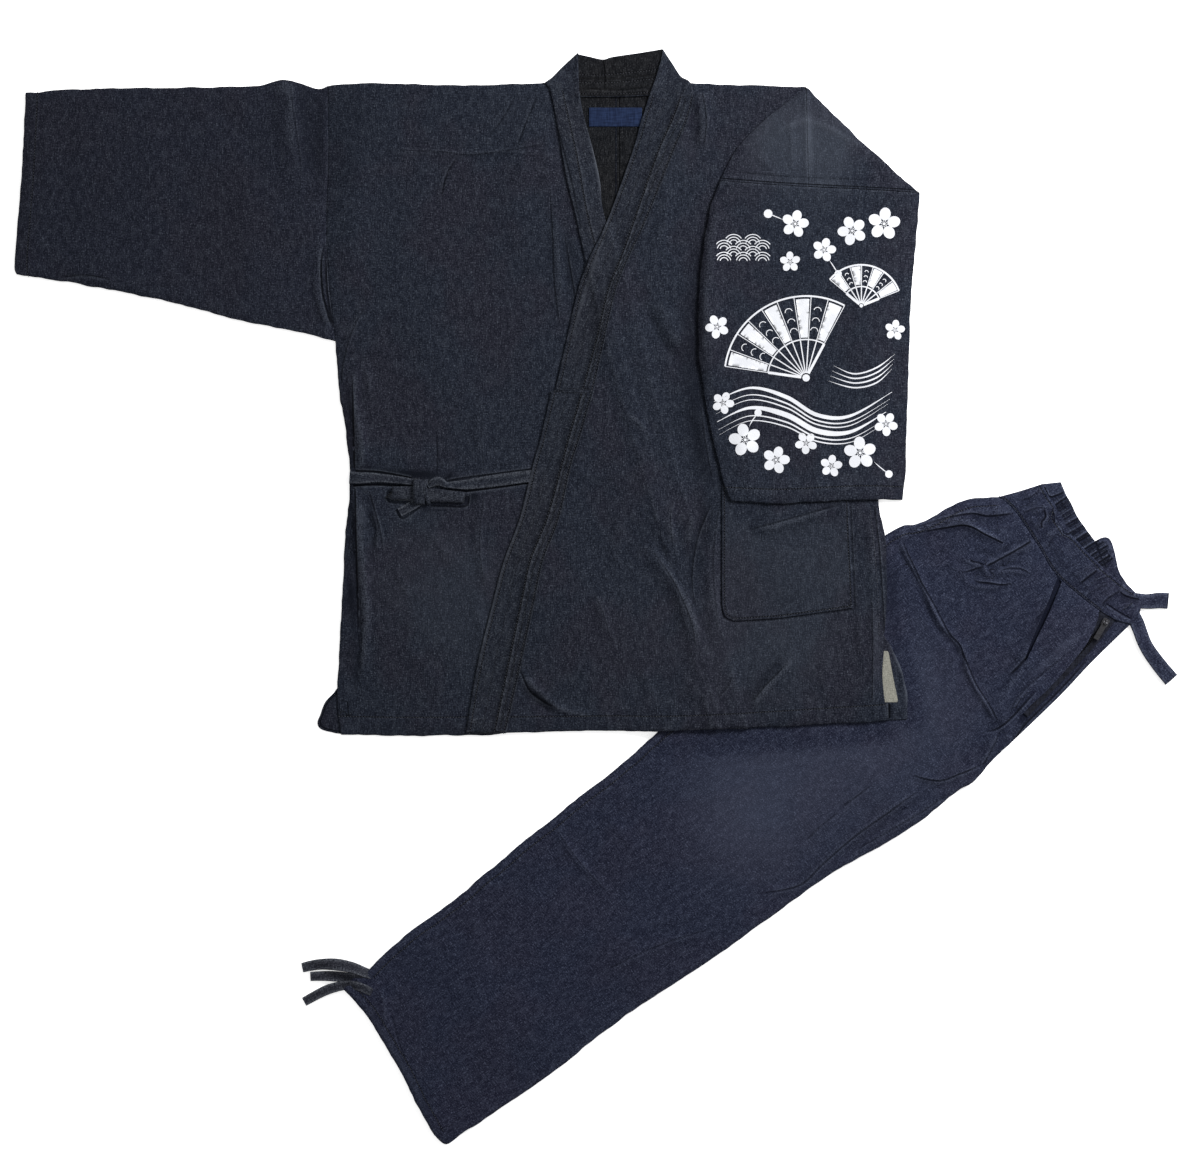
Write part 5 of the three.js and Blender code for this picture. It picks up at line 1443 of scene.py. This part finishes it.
def band_near(line, width, height, sign=1):
    """A low raised band beside a line, as where a seam allowance or hem lies under the cloth."""
    dist, signed, _, within = towards_line(GRID_X, GRID_Y, line[::4])
    return height * (sign * signed > 0) * (dist < width) * within


def hem_form(stitch, width, seed):
    """A hem beyond its row of stitches: it is raised, and ruckers up a little."""
    return band_near(stitch, width, 0.45, -1) + 0.25 * noise(seed, 9, 30) * band_near(stitch, width, 1.0, -1)


def near_mask(ring, sides):
    """Which of a ring's points are on one of the given folded sides."""
    found = np.zeros(len(ring), bool)
    for side in sides:
        found |= towards_line(ring[:, 0], ring[:, 1], side)[0] < 0.6
    return found


def folded_edge(below, above, ring, sides, shift=0.0):
    """The height at which a ring's folded sides meet, halfway between two fields, and NaN on its other sides."""
    return np.where(near_mask(ring, sides), (sampled(below, ring) + sampled(above, ring)) / 2 + shift, np.nan)


def build_sleeve(name, ring, sides, lower, lines, spacing, material):
    """A sleeve of two layers that meet in its folded sides. Gives the upper layer's rubbing with painted shade in its
    hollows, and its painted light and shade.
    """
    upper = sheets[name]
    fold = folded_edge(lower["top"], upper["bottom"], ring, sides)
    wear, shade = ridge_wear_and_hollow_shade(upper), creases(SHADES[name])
    cloth = Cloth(0.0, lines, FOLDS[name])
    add_shell(cloth, ring, upper["top"], upper["bottom"], spacing, wear, fold=fold, shade=shade)
    add_shell(cloth, ring, lower["top"], lower["bottom"], 9.0, fold=fold)
    piece = cloth.build("cloth_" + name, material)
    finish_piece(piece, [name])
    declare_sheet(ring, 2 * area_of(ring))
    return wear, shade


def add_left_sleeve(cuff_line):
    """A flat tube, folded at its upper and under edge."""
    name = "sleeve_left"
    ring = outline(LEFT_SLEEVE["fold"], moved(LEFT_SLEEVE["armhole"], 0.15), LEFT_SLEEVE["underarm"][::-1],
                   LEFT_SLEEVE["cuff"][::-1])
    lower = lay(name + "_lower", ring, form=0.3 + 0.2 * np.abs(noise(5, 20)), edge=6.0)
    form = RELIEF * creases(CREASES[name]) + crumple(7, 0.38, 0.13, 0.22)
    fall = np.clip(2 * blur(lower["mask"].astype(float), 5.0) - 1, 0, 1)
    bottom = np.maximum(lower["top"] + 0.45 + (1.1 + form) * fall, lower["top"] + 0.15)
    sheets[name] = {"ring": ring, "mask": lower["mask"], "bottom": bottom, "top": bottom + WALL}
    build_sleeve(name, ring, [LEFT_SLEEVE["fold"], LEFT_SLEEVE["underarm"]], lower, [cuff_line], 2.5, SLEEVE)


def add_backs():
    left = outline(BODY["shoulder_left"], straight([545, 82], [CENTRE_SEAM + 0.06, 84]),
                   straight([CENTRE_SEAM + 0.06, 84], [CENTRE_SEAM + 0.06, 731]), BODY["hem_left"][::-1],
                   BODY["flare_left"][::-1], BODY["side_left"][::-1], LEFT_SLEEVE["armhole"][::-1])
    centre_left = curve("615.4,86 615.4,400 615.4,730")
    centre_right = curve("619.5,86 619.5,400 619.5,730")
    neck = creases(read_rows("""
        5 0.7 600,128 603,170 607,215
        5 0.6 625,130 628,160 622,190
    """))
    add_sheet("back_left", left, JACKET, spacing=4.0, second=INNER, second_above=0.0, on=UNDER_TROUSERS,
              lines=[centre_left, beside(BODY["flare_left"], 2.5)], form=0.25 * crumple(11) + neck, edge=4.0,
              values={"shade": 0.25 * (GRID_X < at((500, 0))[0, 0])})
    right = outline(straight([CENTRE_SEAM - 0.06, 84], [692, 82.5]), BODY["shoulder_right"], BODY["diagonal"],
                    curve("920,193 903,250 882,345"), BODY["side_right"], BODY["back_slit_right"],
                    BODY["hem_right"][::-1], straight([CENTRE_SEAM - 0.06, 731], [CENTRE_SEAM - 0.06, 84]))
    lay("back_right", right, on=UNDER_TROUSERS, form=0.25 * crumple(12) + neck, edge=4.0)
    return right, centre_right


def pale_field():
    """How far inside the pale reverse that shows in the side slit a place is, in millimetres."""
    ring = outline(curve("888,651 890,662 893.5,681 897.8,702"),
                   straight("897.8,702 878,702 878,651"))
    dist = np.full((NY, NX), 30.0)
    near = (np.abs(GRID_X - ring[:, 0].mean()) < 40) & (np.abs(GRID_Y - ring[:, 1].mean()) < 60)
    closed = np.concatenate([ring, ring[:1]])
    dist[near] = towards_line(GRID_X[near], GRID_Y[near], closed)[0]
    return np.where(mask_of(ring), dist, -dist)


def add_collar_back():
    ring = outline(curve("577,53 590,56 603,58.6 613,56 640,52 661,48.5"),
                   straight("662.5,48.2 664,60 660,80 653,95"), curve("653,95 616,96.5 577,96.5"),
                   straight("577,96.5 575,74"))
    rows = [curve("577,74 600,74.5 625,72.5 658,69"), curve("577,81.5 600,82.5 625,81 658,78"),
            curve("577,93.5 616,93.5 653,92")]
    form = creases(read_rows("""
        3 -0.8 0/0.2 603,58 606,72 604,92
        3 0.8 590,88 616,90 645,87
        4 0.6 584,66 600,67 630,64 655,60
    """))
    add_sheet("collar_back", ring, BAND, spacing=2.0, lines=rows, on=BACKS, wall=BAND_WALL,
              form=form + 0.2 * noise(15, 8), edge=3.0, second=INNER)
    label = outline(straight("589,107 642,107 642,126 589,126 589,107"))
    add_sheet("neck_label", label, LABEL, "label_cloth", spacing=2.0, on=BACKS, wall=0.8,
              form=0.15 * noise(16, 8), edge=3.0)
    return [(row, "collar_back") for row in rows]


def add_fronts():
    on = [*BACKS, *UNDER_TROUSERS, "collar_back"]
    left = outline(BODY["shoulder_left"], straight("545,82 563,82"), columns(UNDER, STITCH),
                   curve("722,728.7 657,731 616,731"), BODY["hem_left"][::-1], straight("341,735"),
                   BODY["slit_left"][::-1], BODY["side_left"][::-1], LEFT_SLEEVE["armhole"][::-1])
    form = RELIEF * creases(CREASES["front_left"]) + crumple(21, 0.46, 0.15, 0.26)
    form += hem_form(HEM_LEFT_STITCH, 24, 24)
    slit_stitch = curve("347,700 348,715")
    add_sheet("front_left", left, JACKET, spacing=2.45, lines=[HEM_LEFT_STITCH, slit_stitch], on=on, form=form,
              loft=0.9, edge=8.0)
    under = outline(curve("545,82 553,76 562,66.5 578,52"), columns(UNDER, FREE),
                    columns(UNDER, SEAM)[::-1])
    under_lines = [columns(UNDER, STITCH)]
    add_sheet("collar_left", under, BAND, spacing=2.2, lines=under_lines, angle=math.radians(14),
              on=[*on, "neck_label", "front_left"], wall=BAND_WALL, edge=4.0, slope=0.35,
              form=0.18 * noise(26, 12) + 0.10 * noise(27, 5))

    right = outline(straight("687,82"), BODY["shoulder_right"][:-1], moved(BODY["diagonal"], -1.6, -1.6),
                    curve("916,200 901,250 881.5,345"), BODY["side_right"], BODY["front_slit_right"],
                    BODY["hem_right"][::-1], curve("616,731 567,731 494,733.5"),
                    columns(OVER_LOWER, STITCH)[::-1], columns(OVER_UPPER, STITCH)[::-1])
    form = RELIEF * creases(CREASES["front_right"]) + crumple(31, 0.46, 0.15, 0.26)
    form += hem_form(HEM_RIGHT_STITCH, 22, 34)
    lay("front_right", right, on=[*on, "neck_label", "front_left", "collar_left"], form=form, loft=0.9, edge=8.0)
    return [(line, "collar_left") for line in under_lines]


POCKET = outline(straight("722,484 722,603"), curve("722,603 725,616 735,621"),
                 straight("735,621 780,618 853,608 849,505 847,484"))


def add_pocket():
    left = np.concatenate([straight("722,484 722,603"), curve("722,603 725,616 735,621")])
    lines = [beside(left, 2.6), beside(straight("735,621 780,618 851,608.3"), 2.6),
             straight("850.3,606 846.6,505 844.6,484")]
    form = creases(read_rows("""
        12/8 1.2 745,534 795,520 842,507
        8 0.6 760,560 756,590 762,616
        9 0.6 800,545 806,580 800,612
        7 0.5 835,520 830,560 836,600
    """))
    add_sheet("pocket", POCKET, JACKET, spacing=2.3, lines=lines, on=["front_right"], edge=2.0, loft=0.3,
              form=form + 0.18 * noise(41, 14) + 0.08 * noise(42, 6))
    return [(line, "pocket") for line in lines]


def add_over_collar():
    """The right front's collar, which lies over everything. Gives its stitched lines."""
    on = ["back_left", "back_right", "collar_back", "neck_label", "front_left", "collar_left", "front_right",
          *UNDER_TROUSERS]
    upper = outline(curve("649,96 656,76 661,59 662.8,48.2"),
                    curve("662.8,48.2 667,54.5 674,65 681,75.5 690,81.5 695,96"),
                    columns(OVER_UPPER, SEAM), columns(OVER_UPPER, FREE)[::-1])
    lower = outline(columns(OVER_LOWER, FREE), columns(OVER_LOWER, SEAM)[::-1])
    lines = []
    for name, ring, table, grain in (("collar_right_upper", upper, OVER_UPPER, -18),
                                     ("collar_right_lower", lower, OVER_LOWER, -15)):
        rows = [columns(table, STITCH), columns(table, SEAM, 0.06, FREE), columns(table, FREE, 0.09, SEAM)]
        add_sheet(name, ring, BAND, spacing=2.0, lines=rows, on=on, wall=BAND_WALL, edge=4.0, slope=0.4,
                  angle=math.radians(grain), softness=3.0, form=0.22 * noise(51, 13) + 0.12 * noise(52, 5))
        lines += [(row, name) for row in rows]
    return lines


def add_right_sleeve(back_ring, centre_right):
    """The sleeve hangs down over the front, and the folded shoulder above it belongs to the front and the back."""
    name = "sleeve_right"
    ring = outline(RIGHT_SLEEVE["seam"], RIGHT_SLEEVE["outer"], RIGHT_SLEEVE["cuff"][::-1],
                   RIGHT_SLEEVE["inner"][::-1])
    fold_edge = np.concatenate([straight("805,88.5 766,118"), curve("766,118 737,148 720,180.5")])
    whole = outline(fold_edge, RIGHT_SLEEVE["inner"], RIGHT_SLEEVE["cuff"], RIGHT_SLEEVE["outer"][::-1],
                    BODY["diagonal"][::-1])
    on = [*BACKS, "front_right", "pocket"]
    lower = lay(name + "_lower", ring, on=on, edge=6.0)
    mask = mask_of(whole)
    support = np.maximum(support_of(on), np.where(lower["mask"], lower["top"] + GAP, 0))
    fall = np.clip(2 * blur(mask.astype(float), 5.0) - 1, 0, 1)
    cuff_line = curve("727,487.5 781,489.5 859,486 905,487")
    armhole = curve("721,184 765,187.5 808,190 870,193 919,196")
    form = RELIEF * creases(CREASES[name]) + crumple(61, 0.34, 0.12, 0.18)
    form += band_near(cuff_line, 20, 0.4, -1) + band_near(armhole, 8, 0.35, 1)
    bottom = np.maximum(drape(support, 0.16, 5.0) + (1.0 + form) * (0.15 + 0.85 * fall), support + 0.1)
    top = bottom + WALL
    sheets[name] = {"ring": ring, "mask": mask, "bottom": bottom, "top": top}
    wear, shade = build_sleeve(name, ring, [RIGHT_SLEEVE["inner"], RIGHT_SLEEVE["outer"]], lower, [cuff_line], 2.4,
                               JACKET)

    front_ring = outline(fold_edge, curve("720,180.8 765,184.2 808.3,186.8"),
                         straight("808.3,186.8 806,90"))
    back_triangle = outline(straight("806.2,87 808.4,186.6"), curve("808.4,186.6 870,189.5 919,192.6"),
                            BODY["diagonal"][::-1][:-2])
    armhole_above = curve("722,178.5 765,182 808,184.5 870,187.5 916,190")
    for body, flat_ring, spacing, folded, side, line, second, more, under in (
            ("front_right", sheets["front_right"]["ring"], 2.45, front_ring, fold_edge, HEM_RIGHT_STITCH, None, {},
             ["front_left", "collar_left"]),
            ("back_right", back_ring, 2.7, back_triangle, BODY["diagonal"], centre_right, INNER,
             {"pale": pale_field()}, [])):
        flat = sheets[body]
        cloth = Cloth(0.0, [line, armhole_above], FOLDS[name] + FOLDS[body])
        add_shell(cloth, flat_ring, flat["top"], flat["bottom"], spacing, ridge_wear_and_hollow_shade(flat),
                  shade=creases(SHADES[body]), **more)
        flat_faces = list(cloth.second)
        edge = folded_edge(flat["top"], bottom, folded, [side], -0.3)
        add_shell(cloth, folded, top, bottom, 2.4, wear, fold=edge, shade=shade)
        cloth.second = flat_faces
        piece = cloth.build("cloth_" + body, JACKET, second, second_above=0.0)
        finish_piece(piece, [body])
        declare_sheet(flat_ring, area_of(flat_ring) + area_of(folded))
    return [(cuff_line, name)]


# The tie: a strap from the side seam, a strap from the collar edge, and their bow

# The bow's bands: their path with heights over the front, their widths and thickness, how rubbed and how tilted
BOW = (
    ("419,494.5,0.6 405,494,0.7 394,493.5,0.9 391,493.2,1.9 394,493,3 405,492.8,3.3 417,492.6,3.8",
     [15, 15.5, 15.5, 15, 14], 1.1, 0.6, [0.0, 0.0, 0.0, 0.02, 0.06]),
    ("428,486,1.2 434,482.3,2.2 439.5,481.3,2.6 444,484,2 448.5,486.5,0.8",
     [5, 10, 11, 8, 4], 1.6, 0.35, [0.1, 0.25, 0.1, -0.1]),
    ("421,495,0.6 440,496,0.7 459,497,0.9 464.6,497.3,1.9 459,497,3.1 441,495.6,3.4 424,494.6,4",
     [14, 14.5, 13, 12.5, 13, 14.5, 15], 1.1, 0.6, [0.0, 0.0, 0.0, 0.03, 0.06]),
    ("422,499.5,1.6 413,505,1.2 399.6,512.4,0.9", [10.8, 10.8, 10.6], 1.5, 0.3, [0.1, 0.05, 0.0]),
    ("419,501,0.6 419.3,504.3,1.6 419.4,503.4,3.8 419.2,498.5,5.6 418.8,491,6 418.8,484,5.5 419.2,480.2,3.6 "
     "419.4,479.6,1.4 419.4,482,0.6", [12.0, 12.5, 13.2, 12.8, 12.4], 1.2, 0.4),
    ("428.6,502,0.8 429.3,504.2,2.2 427.9,500.5,4.6 425.8,493,5.9 425.4,486,5.5 426.2,480,3 426.2,479.4,1",
     [4.0, 4.6, 4.4, 4.2], 1.3, 0.6),
)


def add_tie():
    for name, parts, held in (
            ("tie_strap_left", [part_of("front_left", 1.5, "349.5,477.5 360,478 376,477.8 396,479.6 417,482.6,0.6",
                                        [14.5, 12.5, 10, 8.5, 7], 1.8, 0.2, [0.0, -0.10, -0.16, -0.10])], "laid"),
            ("tie_strap_right", [part_of("front_left", 1.2, "539,475 520,477.3 500,480 480,482.8 464,484.6 447,485,0.4",
                                         [13.6, 14.0, 14.2, 13.6, 11.5, 6.5], 1.5, 0.3,
                                         [0.0, 0.04, -0.05, 0.08, 0.2])], "laid"),
            ("tie_bow", [part_of("front_left", 0.15, *row) for row in BOW], "folded")):
        add_ribbon(name, BAND, parts)


# The print on the right sleeve: fans, plum blossoms, a stream and wave scales, in white

class Print:
    """Strokes and filled shapes that follow the cloth's surface."""

    def __init__(self, sheet):
        self.top, self.points, self.faces = sheets[sheet]["top"], [], []

    def add(self, points, faces):
        first = len(self.points)
        self.points.extend(np.column_stack([points, sampled(self.top, points) + INK_LIFT]).tolist())
        self.faces.extend([tuple(first + i for i in f) for f in faces])

    def stroke(self, line, width, taper=0.0):
        """A line of some width; taper is how much of it narrows at its ends."""
        line = resample(np.asarray(line, float), 1.6)
        n = len(line)
        share = np.linspace(0, 1, n)
        narrow = np.clip(np.minimum(share, 1 - share) / max(taper, 1e-6), 0.12, 1) if taper else np.ones(n)
        side = headings(line)[1] * (width / 2 * narrow)[:, None]
        self.add(np.concatenate([line + side, line - side]), [(n + i, n + i + 1, i + 1, i) for i in range(n - 1)])

    def fill(self, ring, spacing=3.0):
        self.add(*triangulated(outline(resample(np.concatenate([ring, ring[:1]]), 1.3)), spacing))


def round_line(centre, radius, start=0.0, end=2 * math.pi, squeeze=1.0, turn=0.0):
    """An arc, or a circle, or an ellipse."""
    count = max(6, int(abs(end - start) * radius / 1.2))
    t = np.linspace(start, end, count)
    u, v = radius * np.cos(t), radius * squeeze * np.sin(t)
    c, s = math.cos(turn), math.sin(turn)
    return np.stack([centre[0] + u * c - v * s, centre[1] + u * s + v * c], 1)


def add_blossom(ink, place, radius, turn):
    """A plum blossom: five round petals about a ring of stamens."""
    centre = at([place])[0]
    for k in range(5):
        t = math.radians(turn + 72 * k)
        petal = centre + 0.60 * radius * np.array([math.cos(t), math.sin(t)])
        ink.fill(round_line(petal, 0.39 * radius, squeeze=0.86, turn=t)[:-1], 2.6)
    ink.fill(round_line(centre, 0.10 * radius)[:-1], 2.0)
    for k in range(10):
        t = math.radians(turn + 36 * k + 18)
        heading = np.array([math.cos(t), math.sin(t)])
        ink.stroke([centre + 0.13 * radius * heading, centre + (0.27 if k % 2 else 0.21) * radius * heading], 0.9)


def add_bud(ink, radius, stem):
    """A bud at the start of its stem."""
    ink.fill(round_line(at([stem[0]])[0], radius)[:-1], 2.0)
    ink.stroke(curve(*stem), 1.1, 0.3)


def add_fan(ink, pivot, radius, start, end, panels):
    """An open folding fan: ribs from its pivot, and a pleated leaf whose panels are white in turn."""
    centre = at([pivot])[0]
    inner = 0.47 * radius
    span = math.radians(end - start)
    ink.fill(round_line(centre, 0.045 * radius)[:-1], 2.0)
    for k in range(panels + 1):
        t = math.radians(start) + span * k / panels
        heading = np.array([math.cos(t), math.sin(t)])
        ink.stroke([centre + 0.06 * radius * heading, centre + inner * heading], 3.0 if k in (0, panels) else 1.3)
        ink.stroke([centre + inner * heading, centre + radius * heading], 0.9)
    ink.stroke(round_line(centre, inner, math.radians(start), math.radians(end)), 1.5)
    ink.stroke(round_line(centre, radius, math.radians(start), math.radians(end)), 2.0)
    for k in range(0, panels, 2):
        a, b = (math.radians(start) + span * (k + share) / panels for share in (0.10, 0.90))
        ink.fill(np.concatenate([round_line(centre, 0.965 * radius, a, b), round_line(centre, inner + 2.2, b, a)]))
    for k in range(1, panels, 2):
        t = math.radians(start) + span * (k + 0.5) / panels
        for share in (0.58, 0.70, 0.83):
            place = centre + share * radius * np.array([math.cos(t), math.sin(t)])
            ink.stroke(round_line(place, 0.045 * radius, t - 1.5, t + 1.5), 0.9)


def add_scales(ink, place, across, up, radius):
    """Wave scales: rows of nested arcs, each row half a scale along."""
    corner = at([place])[0]
    for j in range(up):
        for i in range(across - j % 2):
            centre = corner + np.array([(2 * i + j % 2) * radius, 0.62 * j * radius])
            for share in (1.0, 0.72, 0.44):
                reach = 0.60 if share == 1.0 else 0.86
                spread = math.pi * (0.5 - reach / 2)
                ink.stroke(round_line(centre, share * radius, spread, math.pi - spread), 1.0)


def add_print():
    ink = Print("sleeve_right")
    add_fan(ink, (806, 378), 94, 62, 172, 9)
    add_fan(ink, (861, 306), 47, 22, 140, 7)
    for k, (drop, width) in enumerate(((0, 4.4), (7, 1.8), (12, 1.6), (20, 6.0), (28, 1.8), (33, 1.5))):
        ink.stroke(curve((714 + k, 402 + drop), (750, 388 + drop), (786, 397 + 0.9 * drop), (817, 415 + 0.8 * drop),
                         (850, 416 + 0.8 * drop), (892 - 2 * k, 392 + drop)), width, 0.35)
    for k in range(4):
        ink.stroke(curve((834 - 2 * k, 366 + 5 * k), (854, 374 + 4.6 * k), (876, 368 + 5 * k),
                         (895 - k, 354 + 5 * k)), 1.7, 0.3)
    add_scales(ink, (724, 262), 3, 4, 11.0)
    for place, radius, turn in (((884, 224), 19, 12), ((852, 231), 17, 40), ((824, 250), 14, 75), ((795, 224), 16, 5),
                                ((895, 330), 12, 10), ((745, 440), 19, 30), ((723, 403), 13, 66), ((776, 460), 16, 2),
                                ((806, 443), 13, 50), ((860, 453), 19, 22), ((886, 424), 14, 58), ((831, 466), 13, 9),
                                ((717, 327), 14, 44), ((790, 262), 12, 20)):
        add_blossom(ink, place, radius, turn)
    for radius, *stem in ((5.0, (768, 214), (776, 217), (783, 220)), (4.2, (838, 274), (833, 266), (829, 260)),
                          (4.2, (758, 413), (752, 421), (749, 427)), (4.4, (889, 474), (881, 468), (874, 462))):
        add_bud(ink, radius, stem)
    mesh = new_mesh("sleeve_print", ink.points, ink.faces)
    finish_piece(new_piece("sleeve_print", mesh, INK), [])


# Build all

def add_samue():
    """All of the set, from the table up."""
    trouser_rows = add_trousers()
    add_trouser_ties()
    add_zip_teeth()

    back_ring, centre_right = add_backs()
    collar_rows = add_collar_back()
    cuff_line = curve("37,92 33,175 26.5,258 28,276")
    add_left_sleeve(cuff_line)
    front_rows = add_fronts()
    pocket_rows = add_pocket()
    sleeve_rows = add_right_sleeve(back_ring, centre_right)
    add_tie()
    over_rows = add_over_collar()
    add_print()

    add_stitches("jacket_stitches", [
        *collar_rows, *front_rows, *pocket_rows, *sleeve_rows, *over_rows, (cuff_line, "sleeve_left"),
        (HEM_LEFT_STITCH, "front_left"), (HEM_RIGHT_STITCH, "front_right"),
        (curve("870.5,508 874,550 878,600 879,634"), "front_right"),
    ])
    add_stitches("trouser_stitches", trouser_rows)
    for name in ("zip_slider", "zip_pull"):
        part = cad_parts[name]
        part.data.materials.clear()
        part.data.materials.append(SHADED_METAL)


add_samue()


# Surroundings

def add_floor():
    reach, drop = 6000.0, -0.4
    corners = [(-reach, -reach, drop), (reach, -reach, drop), (reach, reach, drop), (-reach, reach, drop)]
    n = Nodes("floor")
    n.surface(Base_Color=(0.93, 0.93, 0.93, 1.0), Roughness=0.9, Specular_IOR_Level=0.1,
              Emission_Color=(1.0, 1.0, 1.0, 1.0), Emission_Strength=0.55)
    new_piece("floor", new_mesh("floor", corners, [(0, 1, 2, 3)], smooth=False), n.material)


def add_light(name, place, aim, size, power):
    """A soft square light."""
    light = bpy.data.lights.new(name, "AREA")
    light.shape = "RECTANGLE"
    light.size, light.size_y = size, size
    light.energy = power
    lamp = bpy.data.objects.new(name, light)
    lamp.location = place
    lamp.rotation_euler = (Vector(aim) - Vector(place)).to_track_quat("-Z", "Y").to_euler()
    bpy.context.scene.collection.objects.link(lamp)


def add_surroundings():
    """The floor, the lights, the world's light and the camera."""
    add_floor()
    add_light("key", (1.80, 1.50, 1.35), (0.1, 0.0, 0.0), 1.0, 132)
    add_light("fill", (-2.2, -1.2, 2.6), (0.0, 0.0, 0.0), 2.6, 18)
    scene = bpy.context.scene
    world = bpy.data.worlds.new("studio")
    world.use_nodes = True
    world.node_tree.nodes["Background"].inputs["Color"].default_value = (1.0, 1.0, 1.0, 1.0)
    world.node_tree.nodes["Background"].inputs["Strength"].default_value = 0.45
    scene.world = world
    scene.view_settings.view_transform = "Standard"

    camera = bpy.data.cameras.new("camera")
    camera.type = "PERSP"
    camera.lens = 85
    camera.sensor_width = 36
    across, aim = 1.3796, Vector((0.0041, 0.0126, 0.006))
    eye = bpy.data.objects.new("camera", camera)
    eye.location = aim + Vector((0, 0, across * camera.lens / camera.sensor_width))
    scene.collection.objects.link(eye)
    scene.camera = eye


add_surroundings()
